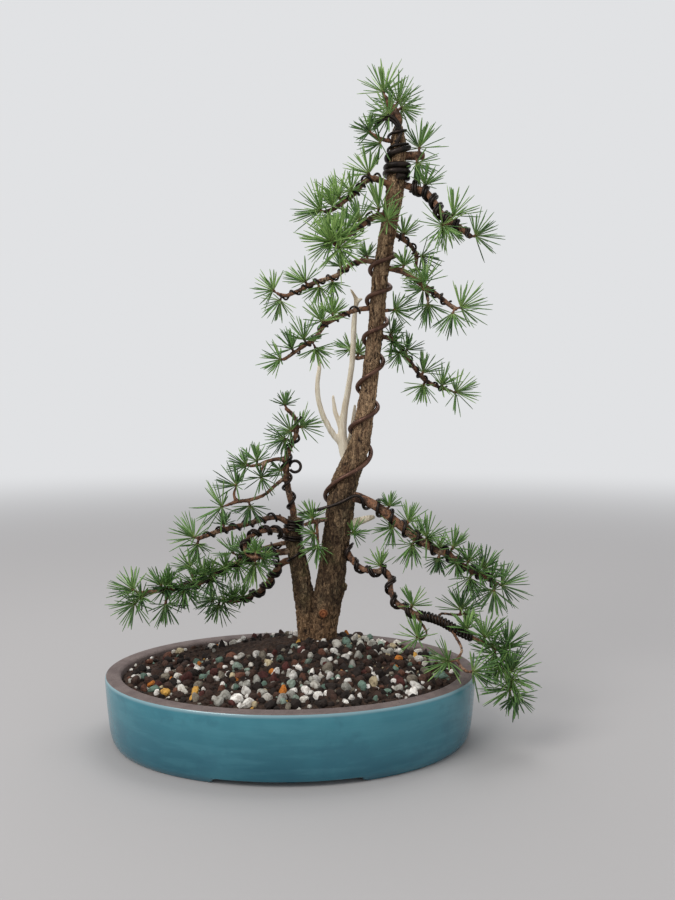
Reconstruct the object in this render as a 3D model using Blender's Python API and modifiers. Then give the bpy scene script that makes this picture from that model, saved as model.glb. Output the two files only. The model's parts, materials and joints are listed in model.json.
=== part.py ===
"""A larch bonsai with two trunks, trained with wire, in a glazed oval pot.

Sizes and places are in millimetres from a point over the middle of the pot's foot, with
+X to the right, +Y to the back and +Z up. MM turns them into metres as meshes are made.
"""
import math
import random

import bmesh
import bpy
import numpy as np
from mathutils import Matrix, Vector, noise
from mathutils.geometry import delaunay_2d_cdt

MM = 0.001
SEED = 38

# Room left between pieces that touch on the real tree
GAP = 0.35
WELD = 0.00001

# Pot: a turned profile, drawn along the long axis and drawn in by the same amount all round
# to the width
POT_LENGTH = 303.0
POT_WIDTH = 209.0
RIM_LEVEL = 51.5
FOOT_LEVEL = -3.0
POT_STEPS = 32
ROUND_UP_TO = POT_LENGTH / 3
UNDERSIDE_LEVEL = 2.0
FLOOR_LEVEL = 8.0
RIM_DEPTH = 11.0
NOTCH_LENGTH = 106.0
NOTCH_HEIGHT = 4.4
DRAIN_DIAMETER = 17.0
DRAIN_OFFSET = 66.0
DRAIN_SIDES = 16

# Screens over the drainage holes
SCREEN_CELL = 7.0
SCREEN_CELLS = 5
SCREEN_THICKNESS = 1.0

# Soil: mounded towards the trunk, with grains raised from its surface
SOIL_EDGE_LEVEL = 48.5
SOIL_RISE = 16.5
SOIL_SPREAD = 60.0
GRAIN_SPACING = 12.5
GRAIN_LOW = -1.4
GRAIN_HIGH = 2.4
GRAIN_ROW = 0.87
GRAIN_JITTER = 2.0
GRAIN_EDGE = 5.5
STEM_PLAY = 0.6
STEM_SIDES = 20

# Trunks: each point is across, back, up and the radius there
STEM_FOOT = 24.0
STEM_TOP = 66.0
MAIN_STEM = (25.0, 48.0, 13.0)
SECOND_STEM = (12.0, 48.0, 9.0)
BARK_RELIEF = 0.7
BARK_GRAIN = 7.0
BARK_START = 4.0
BARK_FADE = 10.0
CUT_SHARE = 1.15
MAIN_TRUNK = (
    (25, 48, STEM_FOOT, 13), (25, 48, 46, 13), (25, 48, STEM_TOP, 13), (29, 47.5, 90, 13),
    (32, 47, 108, 12.9), (37, 46, 146, 12), (41, 45, 176, 12.6), (45, 44, 203, 11.6),
    (54, 44, 221, 10.2), (59, 43, 237, 9), (64, 42, 270, 7.6), (70, 41, 316, 6.9),
    (73, 40, 352, 7), (77, 38, 391, 7), (82, 37, 418, 7), (88, 35, 456, 7.9), (90, 33, 485, 7),
    (90, 32, 507, 5.2),
)
SECOND_TRUNK = (
    (12, 48, STEM_FOOT, 9), (12, 48, 46, 9), (12, 48, STEM_TOP, 9), (10.5, 48, 90, 9.2),
    (7.5, 48, 108, 9), (4, 48, 133, 8), (-2, 48, 152, 7.6), (0, 48, 163, 7.2), (1, 48, 170, 5.6),
)
KNOBS = (
    (26, 40, 88, 5.2, (0, -1, 0.05), 5.2),
    (40, 44, 108, 3.4, (1, -0.3, 0.1), 3.6),
)

# Bleached deadwood
JIN_MAIN = (
    ((48, 46, 214, 4.5), (45, 52, 224, 4.6), (43, 52, 240, 4.2), (44, 52, 256, 3.4), (48, 53, 280, 2.9),
     (52, 54, 305, 2.6), (53, 54, 327, 2.5), (54, 54, 348, 2.3), (56, 53, 362, 1.8), (50, 52, 371, 0.8)),
    ((43, 52, 236, 3.2), (36, 51, 241, 2.9), (27, 50, 256, 2.6), (21, 50, 274, 2.3), (21, 50, 292, 2.0),
     (24, 51, 303, 1.7), (21, 51, 311, 0.9)),
    ((43, 52, 247, 2.6), (39, 53, 256, 2.3), (36, 54, 266, 2.0), (35, 55, 278, 1.2)),
    ((45, 53, 228, 2.6), (51, 57, 240, 2.4), (53, 59, 255, 2.0), (55, 60, 270, 1.2)),
    ((55, 53, 357, 1.6), (58, 52, 361, 1.4), (61, 51, 362, 0.9)),
)
JIN_RIGHT = (
    ((42, 45, 160, 4.2), (52, 44, 164, 4.0), (61, 43, 168, 3.4), (72, 42, 171, 2.2)),
)

# Needles: a bud-like core with one three-sided needle on each of its faces. A needle that
# meets something is turned further and made shorter at each try.
CORE_RADIUS = 1.55
CORE_CLEAR = 2.4
CORE_ROOM = 0.3
ROOT_DEPTH = 1.3
STALK_ROOM = 1.25
STALK_RADIUS = 1.3
NEEDLE_LIFT = 0.3
NEEDLE_FOOT = 0.7
NEEDLE_CLEAR = 0.55
NEEDLE_TRIES = 28
NEEDLE_JITTER = 0.16
NEEDLE_JITTER_STEP = 0.035
NEEDLE_SHORTER_STEP = 0.02
NEEDLE_SHORTEST = 0.86
NEEDLE_LONGEST = 1.06
NEEDLE_LEAST_FACING = 0.55
NEEDLE_SISTER_FACING = 0.985
NEEDLE_POT_ROOM = 1.5
NEEDLE_CHECKS = (0.4, 0.7, 1.0)
STUB_NEEDLE = 0.6

# How far a spray may slide along its wood to clear the wires
SLIDE_REACH = 8.0
SLIDE_STEP = 0.8
PATH_READINGS = 240

# Training wire. A branch's coil is tried at every phase, and then with its turns further
# apart or closer, until it has room enough to its neighbours.
WIRE_POINTS_PER_TURN = 5
TRUNK_WIRE_POINTS = 8
TRUNK_WIRE_RADIUS = 2.0
CROWN_WIRE_RADIUS = 1.25
WIRE_PHASES = 24
WIRE_STRETCHES = (1.0, 1.04, 0.96, 1.08, 0.92, 1.12, 0.88, 1.16)
WIRE_PUSHES = 4
WIRE_PUSH_EXTRA = 0.03
# Turns of the trunk wire: height, and the angle round the trunk in quarter turns, where
# 2 is the left side, 3 the front, 4 the right side and 5 the back
TRUNK_WIRE_TURNS = (
    (171, 0.7), (187, 2), (231, 4), (246, 6), (269, 8), (283, 10), (308, 12), (326, 14), (341, 16),
    (359, 18), (371, 20), (384, 22), (399, 24), (403, 24.8),
)
CROWN_WIRE_TURNS = (
    (461, 3), (462.5, 4), (464.5, 6), (467, 8), (469.5, 10), (472.2, 12), (477.5, 14), (487, 16),
    (496, 18), (498.5, 20), (501, 22), (502, 23),
)

# Leafy branches. Each has its wood, with the radius at every point, the sprays of needles
# on it as (place, the way it faces, needle length), and the wire wound along its first wood
# as (start, end, rise of a turn, wire radius), measured along the wood.
BRANCHES = {
    "branch_left_1": {
        "wood": (
            ((86, 33, 455, 2.8), (81, 30, 455, 2.7), (70, 28, 460, 2.4), (60, 25, 456, 2.3),
             (56, 22, 448, 2.2), (49, 18, 441, 2.1), (43, 14, 436, 1.9), (36, 10, 429, 1.7),
             (27, 8, 426, 1.4)),
        ),
        "sprays": (
            ((65, 26, 463), (-0.7, -0.2, 0.7), 24),
            ((40, 12, 440), (-0.6, -0.3, 0.7), 23),
            ((23, 6, 426), (-0.9, -0.3, 0.1), 26),
            ((32, 10, 425), (-0.5, -0.2, -0.8), 20),
        ),
        "wire": (12, 62, 10, 0.9),
    },
    "branch_left_2": {
        "wood": (
            ((80, 36, 430, 3.0), (75, 33, 430, 2.9), (66, 27, 426, 2.7), (58, 18, 417, 2.5),
             (49, 8, 410, 2.4), (43, -4, 401, 2.3), (35, -14, 394, 2.3)),
        ),
        "sprays": (
            ((73, 26, 434), (-0.2, -0.3, 0.9), 26),
            ((56, 14, 421), (-0.7, -0.4, 0.5), 24),
            ((31, -17, 396), (-0.6, -0.6, 0.3), 27),
            ((38, -17, 391), (0.4, -0.8, -0.4), 27),
        ),
        "wire": (16, 52, 11, 0.9),
    },
    "branch_left_3": {
        "wood": (
            ((74, 38, 392, 2.4), (67, 38, 392, 2.4), (56, 40, 393, 2.2), (47, 42, 388, 2.1),
             (39, 45, 381, 2.1), (32, 47, 379, 2.0), (24, 48, 377, 2.0), (15, 50, 374, 1.9),
             (8, 52, 370, 1.9), (0, 53, 367, 1.7), (-6, 54, 364, 1.6), (-15, 55, 367, 1.3)),
        ),
        "sprays": (
            ((61, 40, 397), (0.1, 0, 1), 15),
            ((41, 43, 388), (-0.2, -0.2, 1), 18),
            ((37, 46, 376), (0.2, -0.2, -1), 18),
            ((25, 47, 372), (0, -0.2, -1), 19),
            ((8, 50, 375), (-0.6, -0.2, 0.8), 22),
            ((-19, 55, 370), (-0.9, -0.1, 0.45), 22),
            ((-8, 53, 359), (-0.5, -0.2, -0.85), 22),
        ),
        "wire": (12, 92, 11.5, 0.8),
    },
    "branch_left_4": {
        "wood": (
            ((72, 40, 351, 2.5), (65, 38, 352, 2.4), (54, 32, 350, 2.1), (46, 28, 346, 2.0),
             (36, 24, 341, 2.0), (27, 20, 336, 1.9), (23, 18, 329, 1.8), (18, 16, 322, 1.7),
             (12, 14, 319, 1.7), (4, 12, 313, 1.5), (-7, 10, 305, 1.3)),
        ),
        "sprays": (
            ((34, 22, 345), (0.3, -0.2, 1), 17),
            ((25, 17, 338), (-0.4, -0.4, 0.8), 21),
            ((9, 12, 322), (0, -0.3, 0.95), 22),
            ((0, 11, 315), (-0.5, -0.2, 0.85), 20),
            ((20, 15, 315), (0.3, -0.2, -0.95), 20),
            ((-10, 9, 305), (-0.95, -0.2, 0.1), 20),
        ),
        "wire": (14, 88, 11.5, 0.8),
    },
    "branch_left_5": {
        "wood": (
            ((67, 42, 311, 1.8), (60, 50, 311, 1.8), (57, 60, 310, 1.6), (54, 70, 312, 1.4),
             (53, 78, 318, 1.3)),
        ),
        "sprays": (
            ((58, 63, 315), (0.3, -0.2, 1), 18),
            ((51, 79, 321), (-0.8, 0.4, 0.3), 18),
        ),
    },
    "crown": {
        "wood": (
            ((90, 33, 500, 3.3), (90, 31, 511, 3.3), (83, 30, 521, 2.8), (77, 29, 528, 2.1)),
        ),
        "sprays": (
            ((76, 29, 532), (-0.1, -0.1, 1), 27),
            ((90, 32, 524), (0.15, 0.1, 1), 25),
            ((81, 27, 511), (-0.9, -0.2, 0.2), 26),
            ((95, 32, 516), (0.9, 0.2, 0.2), 20),
            ((85, 35, 521), (-0.2, 0.9, 0.3), 23),
        ),
    },
    "crown_left": {
        "wood": (
            ((88, 33, 491, 1.8), (81, 29, 491, 1.7), (73, 27, 492, 1.6), (67, 26, 495, 2.1)),
        ),
        "sprays": (
            ((74, 26, 488), (-0.8, -0.3, -0.2), 24),
            ((65, 25, 497), (-0.7, -0.1, 0.5), 17),
        ),
    },
    "crown_right": {
        "wood": (
            ((91, 33, 479, 3.6), (102, 33, 480, 3.7), (113, 34, 480, 3.3)),
        ),
        "sprays": (
            ((108, 33, 487), (0.2, -0.1, 1), 27),
            ((106, 30, 473), (0.4, -0.3, -0.8), 22),
        ),
    },
    "branch_right_1": {
        "wood": (
            ((88, 35, 455, 3.4), (95, 34, 457, 3.4), (106, 30, 451, 3.1), (114, 26, 447, 3.0),
             (120, 20, 437, 2.8), (123, 14, 427, 2.8), (131, 8, 419, 2.7), (139, 4, 412, 2.5),
             (147, 2, 404, 2.1)),
        ),
        "sprays": (
            ((114, 25, 453), (0.35, -0.2, 0.9), 24),
            ((133, 7, 424), (0.1, -0.2, 1), 25),
            ((121, 2, 416), (-0.1, -0.95, -0.2), 27),
            ((151, 2, 405), (0.9, -0.2, 0.3), 25),
            ((130, 14, 415), (0.3, 0.7, -0.5), 22),
        ),
        "wire": (14, 88, 11, 1.2),
    },
    "branch_right_2": {
        "wood": (
            ((81, 37, 417, 2.2), (87, 38, 417, 2.2), (96, 44, 412, 2.0), (104, 50, 408, 1.8),
             (109, 56, 401, 1.7), (109, 60, 393, 1.4)),
        ),
        "sprays": (
            ((96, 44, 417), (0.3, 0.2, 0.9), 20),
            ((114, 57, 402), (0.9, 0.1, -0.1), 20),
            ((110, 61, 389), (0.3, 0.3, -0.8), 18),
        ),
        "wire": (11, 40, 10, 0.8),
    },
    "branch_right_3": {
        "wood": (
            ((77, 38, 386, 2.6), (84, 38, 386, 2.6), (95, 34, 383, 2.4), (102, 30, 377, 2.3),
             (115, 26, 367, 2.3), (124, 22, 360, 2.1), (132, 18, 352, 1.9), (138, 15, 348, 1.6)),
            ((114, 26, 367, 2.0), (114, 25, 361, 1.9), (115, 24, 356, 1.6)),
        ),
        "sprays": (
            ((95, 33, 388), (-0.3, -0.1, 0.95), 16),
            ((112, 23, 373), (-0.3, -0.4, 0.85), 24),
            ((110, 22, 366), (-0.8, -0.6, -0.2), 22),
            ((115, 23, 352), (0.1, -0.2, -1), 24),
            ((142, 13, 349), (0.85, -0.3, 0.35), 27),
            ((135, 13, 344), (0, -0.3, -0.95), 25),
        ),
        "wire": (46, 70, 10, 0.8),
    },
    "branch_right_4": {
        "wood": (
            ((73, 40, 328, 2.1), (79, 42, 328, 2.1), (88, 46, 326, 2.0), (96, 49, 316, 1.9),
             (103, 51, 308, 1.8), (109, 53, 298, 1.8), (118, 55, 290, 1.7), (128, 56, 285, 1.5),
             (142, 57, 281, 1.3)),
        ),
        "sprays": (
            ((86, 46, 331), (0.5, 0.3, 0.8), 17),
            ((88, 42, 322), (0.6, -0.6, -0.5), 17),
            ((95, 45, 312), (-0.3, -0.9, -0.3), 20),
            ((100, 50, 317), (0.6, 0, 0.8), 18),
            ((115, 53, 297), (0.3, -0.2, 0.9), 22),
            ((116, 54, 286), (-0.2, -0.2, -1), 21),
            ((131, 53, 287), (0.3, -0.7, 0.5), 22),
            ((146, 56, 280), (0.8, -0.6, 0.1), 26),
        ),
        "wire": (15, 84, 11.5, 0.8),
    },
    "branch_right_5": {
        "wood": (
            ((44, 43, 187, 5.6), (51, 40, 189, 5.4), (58, 38, 188, 5.0), (69, 34, 183, 4.4),
             (81, 30, 175, 4.2), (91, 27, 166, 4.0), (106, 24, 155, 3.6), (116, 21, 148, 3.4),
             (130, 18, 143, 3.0), (144, 15, 132, 2.6), (156, 12, 127, 2.4), (168, 10, 120, 2.0),
             (173, 9, 118, 1.6)),
        ),
        "sprays": (
            ((83, 29, 182), (0, 0.1, 1), 15),
            ((85, 23, 164), (-0.8, -0.5, -0.3), 22),
            ((102, 22, 149), (0, -0.4, -0.9), 25),
            ((97, 30, 170), (0.1, 0.4, 1), 20),
            ((114, 17, 156), (0.2, -0.7, 0.7), 25),
            ((136, 15, 148), (0.3, -0.2, 0.9), 20),
            ((124, 18, 138), (-0.1, -0.3, -1), 16),
            ((148, 10, 137), (0.1, -0.7, 0.7), 21),
            ((162, 12, 131), (0.4, 0.1, 0.9), 22),
            ((150, 13, 122), (-0.1, -0.2, -1), 22),
            ((177, 7, 117), (0.9, -0.3, 0.1), 27),
            ((167, 6, 114), (-0.2, -0.7, -0.7), 25),
        ),
        "wire": (20, 150, 14, 1.3),
        "wire_start": ((5, 37.5, 174), (13, 34, 176), (24, 31.5, 179), (36, 30, 182.5),
                       (46, 30, 187), (54, 30.5, 192)),
    },
    "branch_right_6": {
        "wood": (
            ((38, 46, 149, 2.8), (47, 42, 146, 2.8), (48, 38, 140, 2.7), (53, 34, 131, 2.6),
             (61, 30, 126, 2.5), (71, 26, 125, 2.5), (79, 22, 128, 2.4), (84, 18, 122, 2.4),
             (82, 14, 114, 2.4), (85, 8, 103, 2.3), (95, 2, 99, 2.3), (102, -3, 95, 2.2),
             (112, -8, 95, 2.1), (123, -14, 92, 2.0), (133, -20, 87, 1.8), (146, -26, 82, 1.7),
             (153, -29, 78, 1.5), (168, -35, 75, 1.4)),
            ((102, -3, 95, 1.3), (108, -4, 87, 1.2), (113, -4, 79, 1.1), (105, -6, 74, 1.0)),
            ((128, -17, 89, 1.4), (132, -25, 82, 1.3), (137, -34, 74, 1.2), (129, -42, 71, 1.2),
             (131, -50, 66, 1.2), (136, -56, 64, 1.5)),
            ((119, -12, 93, 1.3), (122, -6, 98, 1.2), (131, -3, 95, 1.2), (141, 0, 94, 1.1)),
            ((168, -35, 75, 1.4), (165, -38, 63, 1.3), (173, -38, 55, 1.3), (175, -40, 43, 1.6)),
        ),
        "sprays": (
            ((75, 25, 131), (0, -0.1, 1), 18),
            ((97, 1, 104), (0.1, -0.1, 1), 20),
            ((141, -22, 89), (-0.2, 0.3, 0.9), 18),
            ((154, -29, 84), (0.1, -0.2, 1), 24),
            ((160, -36, 72), (-0.7, -0.4, -0.5), 25),
            ((172, -35, 79), (0.1, 0, 1), 20),
            ((102, -8, 77), (-0.4, -0.3, 0.8), 22),
            ((122, -46, 70), (-0.7, -0.6, -0.1), 23),
            ((140, -58, 65), (0.9, -0.3, 0.1), 24),
            ((140, -1, 99), (0, -0.1, 1), 26),
            ((145, 1, 95), (0.9, -0.1, -0.1), 18),
            ((172, -41, 59), (0.4, -0.4, 0.8), 28),
            ((176, -42, 40), (0.3, -0.4, -0.8), 20),
            ((171, -42, 46), (-0.8, -0.5, 0.1), 26),
        ),
        "wire": (12, 127, 12.5, 1.0),
    },
    "leader": {
        "wood": (
            ((1, 50, 160, 3.4), (0, 50, 176, 3.1), (-5, 47, 195, 2.9), (-6, 45, 207, 2.8),
             (-6, 45, 222, 2.5), (-4, 45, 229, 2.3), (3, 44, 243, 2.1), (3, 44, 257, 1.9),
             (-3, 43, 263, 1.8), (-7, 42, 266, 1.5)),
            ((-6, 45, 221, 1.9), (-15, 38, 222, 1.9), (-23, 35, 220, 1.8), (-29, 32, 217, 1.6),
             (-37, 28, 216, 1.3)),
            ((-23, 35, 220, 1.4), (-26, 30, 215, 1.3), (-28, 26, 209, 1.2)),
            ((-7, 45, 205, 2.1), (-12, 38, 202, 2.0), (-17, 32, 198, 1.9), (-24, 26, 191, 1.8),
             (-36, 22, 188, 1.7), (-47, 18, 187, 1.6), (-56, 14, 184, 1.4)),
            ((-47, 18, 187, 1.4), (-50, 20, 193, 1.3), (-48, 21, 198, 1.2)),
        ),
        "sprays": (
            ((-8, 42, 270), (0, -0.1, 1), 15),
            ((7, 43, 249), (0.7, -0.1, 0.6), 22),
            ((-2, 41, 247), (-0.85, -0.5, 0.2), 24),
            ((-8, 40, 238), (-0.6, -0.6, -0.5), 22),
            ((-11, 42, 212), (-0.9, -0.3, 0.3), 14),
            ((-41, 27, 217), (-0.9, -0.2, 0.1), 20),
            ((-31, 32, 221), (-0.4, 0.1, 0.9), 18),
            ((-27, 23, 206), (0, -0.95, -0.1), 22),
            ((-60, 12, 183), (-0.6, -0.8, 0.1), 26),
            ((-36, 20, 183), (0.1, -0.5, -0.8), 22),
            ((-47, 20, 202), (-0.4, -0.6, 0.7), 24),
        ),
        "wire": (14, 100, 16, 1.1),
    },
    "branch_second_1": {
        "wood": (
            ((-1, 46, 162, 2.6), (-8, 41, 168, 2.6), (-14, 37, 172, 2.4), (-23, 33, 171, 2.3),
             (-34, 28, 168, 2.3), (-44, 24, 166, 2.2), (-54, 20, 164, 2.1), (-64, 16, 162, 2.0),
             (-72, 12, 159, 1.9), (-79, 10, 157, 1.6)),
        ),
        "sprays": (
            ((-83, 9, 158), (-0.6, -0.3, 0.7), 24),
            ((-80, 9, 152), (-0.2, -0.3, -0.9), 17),
            ((-60, 16, 168), (0.1, 0.1, 1), 12),
        ),
        "wire": (14, 86, 11.5, 0.9),
    },
    "branch_second_2": {
        "wood": (
            ((-2, 47, 158, 2.4), (-9, 38, 159, 2.4), (-16, 30, 161, 2.3), (-24, 24, 162, 2.2),
             (-33, 18, 160, 2.1), (-40, 14, 154, 2.0), (-40, 12, 146, 1.9), (-34, 10, 141, 1.7),
             (-27, 9, 141, 1.5)),
        ),
        "sprays": (
            ((-30, 8, 146), (0.2, -0.1, 1), 14),
            ((-23, 8, 141), (0.9, -0.3, 0.1), 14),
        ),
        "wire": (16, 66, 11, 1.0),
    },
    "branch_second_3": {
        "wood": (
            ((-1, 50, 146, 2.4), (-8, 56, 146, 2.2), (-17, 60, 143, 2.0), (-29, 66, 139, 1.8),
             (-40, 70, 134, 1.6), (-54, 74, 131, 1.3)),
        ),
        "sprays": (
            ((-58, 75, 134), (-0.5, 0.1, 0.9), 21),
            ((-42, 71, 139), (0, 0.1, 1), 16),
            ((-30, 66, 133), (0.1, 0.3, -0.9), 16),
        ),
        "wire": (14, 52, 11, 0.8),
    },
    "branch_second_4": {
        "wood": (
            ((0, 46, 139, 3.2), (-8, 43, 140, 3.2), (-22, 40, 139, 3.0), (-36, 36, 136, 2.8),
             (-47, 32, 133, 2.6), (-57, 28, 129, 2.5), (-66, 26, 125, 2.4), (-73, 24, 119, 2.3),
             (-83, 22, 116, 2.1), (-100, 20, 114, 2.0), (-112, 18, 112, 1.9), (-120, 17, 111, 1.7),
             (-131, 16, 110, 1.5)),
            ((-120, 17, 111, 1.5), (-125, 14, 108, 1.4), (-131, 13, 105, 1.3)),
            ((-83, 22, 116, 1.5), (-85, 26, 122, 1.4), (-88, 29, 128, 1.2)),
            ((-100, 20, 114, 1.4), (-104, 17, 108, 1.3), (-107, 14, 104, 1.2)),
        ),
        "sprays": (
            ((-135, 15, 113), (-0.7, -0.1, 0.7), 23),
            ((-133, 11, 102), (-0.3, -0.8, -0.4), 24),
            ((-114, 16, 117), (-0.1, 0, 1), 20),
            ((-101, 19, 120), (0, -0.2, 1), 23),
            ((-91, 17, 112), (-0.2, -0.8, -0.5), 20),
            ((-77, 26, 123), (-0.4, 0.3, 0.9), 22),
            ((-69, 22, 125), (-0.2, -0.4, 1), 22),
            ((-107, 13, 100), (0.2, -0.3, -1), 23),
            ((-43, 31, 138), (-0.5, -0.6, 0.6), 21),
            ((-33, 33, 132), (0.1, -0.5, -0.85), 24),
            ((-89, 30, 131), (-0.6, 0.3, 0.8), 18),
        ),
        "wire": (16, 128, 12.5, 1.0),
    },
    "branch_second_5": {
        "wood": (
            ((0, 50, 131, 3.2), (-9, 54, 130, 3.2), (-15, 58, 123, 3.0), (-20, 59, 114, 2.8),
             (-26, 60, 105, 2.6), (-34, 61, 99, 2.5), (-42, 62, 96, 2.3), (-50, 63, 92, 2.1),
             (-60, 63, 91, 1.9), (-69, 62, 94, 1.5)),
        ),
        "sprays": (
            ((-74, 61, 95), (-0.8, -0.4, 0.2), 22),
            ((-68, 60, 89), (-0.3, -0.5, -0.85), 22),
            ((-55, 60, 95), (-0.1, -0.4, 0.9), 18),
        ),
        "wire": (16, 70, 12, 1.2),
    },
    "branch_middle": {
        "wood": (
            ((34, 44, 169, 2.2), (26, 38, 169, 2.1), (17, 33, 168, 1.9), (9, 31, 165, 1.5)),
            ((20, 35, 168, 1.5), (21, 32, 159, 1.4), (22, 32, 149, 1.2)),
        ),
        "sprays": (
            ((17, 28, 172), (-0.2, -0.3, 0.95), 18),
            ((18, 29, 158), (-0.9, -0.4, -0.2), 19),
            ((22, 31, 146), (-0.5, -0.4, -0.8), 20),
        ),
    },
    "spur_front": {
        "wood": (((81, 36, 421, 1.8), (80, 26, 422, 1.6), (80, 24, 422, 1.4)),),
        "sprays": (((80, 22, 422), (0, -1, 0.5), 21),),
    },
    "spur_right": {
        "wood": (((74, 39, 349, 1.8), (83, 36, 350, 1.6), (85, 35, 350, 1.4)),),
        "sprays": (((87, 35, 350), (1, -0.3, 0.1), 20),),
    },
    "spur_low_right": {
        "wood": (((40, 45, 157, 1.8), (49, 39, 157, 1.6), (51, 37, 157, 1.4)),),
        "sprays": (((52, 35, 157), (0.8, -0.5, 0.4), 16),),
    },
}

# The longest step along a path between the rings of its tube
WOOD_STEP = 16.0
TRUNK_STEP = 15.0
JIN_STEP = 14.0

# Whose rod is whose, so that a piece needn't clear itself. A branch's sprays and twigs take
# the hundred numbers from its own number's hundredfold on.
TRUNK_OWNER = 1
DEADWOOD_OWNER = 2
WIRE_OWNER = 3
FIRST_BRANCH_OWNER = 10
TWIGS_FROM = 80

# Finishes: base colour, roughness and metallic value
FINISHES = {
    "glaze": ((0.09, 0.30, 0.38, 1), 0.25, 0.0),
    "granules": ((0.22, 0.18, 0.15, 1), 0.9, 0.0),
    "mesh": ((0.03, 0.03, 0.03, 1), 0.6, 0.0),
    "bark": ((0.16, 0.10, 0.06, 1), 0.9, 0.0),
    "deadwood": ((0.66, 0.57, 0.43, 1), 0.8, 0.0),
    "copper_wire": ((0.19, 0.08, 0.05, 1), 0.5, 0.8),
    "dark_wire": ((0.03, 0.025, 0.02, 1), 0.45, 0.8),
    "leafy": ((0.12, 0.30, 0.08, 1), 0.6, 0.0),
}

random.seed(SEED)


# Small helpers

def clear_scene():
    for thing in list(bpy.data.objects):
        bpy.data.objects.remove(thing, do_unlink=True)


def finish(name):
    material = bpy.data.materials.get(name)
    if material is None:
        colour, roughness, metallic = FINISHES[name]
        material = bpy.data.materials.new(name)
        material.use_nodes = True
        shader = material.node_tree.nodes["Principled BSDF"]
        shader.inputs["Base Color"].default_value = colour
        shader.inputs["Roughness"].default_value = roughness
        shader.inputs["Metallic"].default_value = metallic
    return material


def add_object(name, mesh, finish_name):
    thing = bpy.data.objects.new(name, mesh)
    bonsai.objects.link(thing)
    mesh.materials.clear()
    mesh.materials.append(finish(finish_name))
    return thing


def mesh_from(bm, name):
    """Turn an edit mesh drawn in millimetres into a mesh in metres."""
    bmesh.ops.scale(bm, vec=(MM, MM, MM), verts=bm.verts)
    mesh = bpy.data.meshes.new(name)
    bm.to_mesh(mesh)
    bm.free()
    return mesh


def evaluated_mesh(thing, outward=False):
    depsgraph = bpy.context.evaluated_depsgraph_get()
    mesh = bpy.data.meshes.new_from_object(thing.evaluated_get(depsgraph))
    bm = bmesh.new()
    bm.from_mesh(mesh)
    bmesh.ops.remove_doubles(bm, verts=bm.verts, dist=WELD)
    if outward:
        bmesh.ops.recalc_face_normals(bm, faces=bm.faces)
    bm.to_mesh(mesh)
    bm.free()
    return mesh


def remove(thing):
    bpy.data.objects.remove(thing, do_unlink=True)


def combine(base, others, operation="UNION", solver="MANIFOLD"):
    """Join the others to the base, or cut them from it, and remove them."""
    tools = bpy.data.collections.new("tools")
    bpy.context.scene.collection.children.link(tools)
    for other in others:
        for owner in list(other.users_collection):
            owner.objects.unlink(other)
        tools.objects.link(other)
    cut = base.modifiers.new("combine", "BOOLEAN")
    cut.operation = operation
    cut.operand_type = "COLLECTION"
    cut.collection = tools
    cut.solver = solver
    materials = list(base.data.materials)
    base.data = evaluated_mesh(base)
    base.modifiers.clear()
    base.data.materials.clear()
    for material in materials:
        base.data.materials.append(material)
    for other in others:
        remove(other)
    bpy.data.collections.remove(tools)
    return base


# Paths

def smooth_path(points, step):
    """A smooth curve through the points, read about every step; columns are x, y, z, radius."""
    knots = np.array(points, float)
    ends = np.vstack([2 * knots[0] - knots[1], knots, 2 * knots[-1] - knots[-2]])
    rows = []
    for i in range(1, len(knots)):
        before, here, there, after = ends[i - 1], ends[i], ends[i + 1], ends[i + 2]
        length = np.linalg.norm(there[:3] - here[:3])
        count = max(1, round(length / step))
        for k in range(count):
            t = k / count
            rows.append(0.5 * (2 * here + (there - before) * t
                               + (2 * before - 5 * here + 4 * there - after) * t ** 2
                               + (3 * here - before - 3 * there + after) * t ** 3))
    rows.append(knots[-1])
    return np.array(rows)


def unit(vector):
    return np.asarray(vector, float) / np.linalg.norm(vector)


class Path:
    """A sampled wood path that can be asked for its place and its sides at any length."""

    def __init__(self, samples):
        self.samples = samples
        self.points = samples[:, :3]
        self.radii = samples[:, 3]
        steps = np.linalg.norm(np.diff(self.points, axis=0), axis=1)
        self.lengths = np.concatenate([[0], np.cumsum(steps)])
        self.total = self.lengths[-1]
        self.along = [unit(v) for v in np.gradient(self.points, axis=0)]
        side = unit(np.cross(self.along[0], (0.3, 0.9, 0.2)))
        self.sides = []
        for direction in self.along:
            side = unit(side - direction * np.dot(side, direction))
            self.sides.append(side)
        self.along = np.array(self.along)
        self.sides = np.array(self.sides)
        self.wood = Rods(len(samples))
        self.wood.add_path(samples, 0)

    def read(self, rows, length):
        return np.array([np.interp(length, self.lengths, rows[:, k]) for k in range(3)])

    def place(self, length):
        return self.read(self.points, length)

    def radius(self, length):
        return np.interp(length, self.lengths, self.radii)

    def frame(self, length):
        along = unit(self.read(self.along, length))
        side = self.read(self.sides, length)
        side = unit(side - along * np.dot(side, along))
        return along, side, np.cross(along, side)

    def nearest(self, place):
        """The length along the path nearest to a place, and how far away it is."""
        grid = np.linspace(0, self.total, PATH_READINGS)
        distances = [np.linalg.norm(self.place(length) - place) for length in grid]
        best = int(np.argmin(distances))
        return grid[best], distances[best]


def tube(name, samples, finish_name, resolution=None):
    """A tube along the samples, with their radii, as a closed mesh: round, or three-sided."""
    curve = bpy.data.curves.new(name, "CURVE")
    curve.dimensions = "3D"
    curve.use_fill_caps = True
    if resolution is None:
        curve.bevel_mode = "OBJECT"
        curve.bevel_object = three_sided
    else:
        curve.bevel_depth = MM
        curve.bevel_resolution = resolution
    spline = curve.splines.new("POLY")
    spline.points.add(len(samples) - 1)
    for point, row in zip(spline.points, samples):
        point.co = (row[0] * MM, row[1] * MM, row[2] * MM, 1)
        point.radius = row[3]
    guide = bpy.data.objects.new(name + "_guide", curve)
    bonsai.objects.link(guide)
    mesh = evaluated_mesh(guide, outward=True)
    remove(guide)
    return add_object(name, mesh, finish_name)


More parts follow.
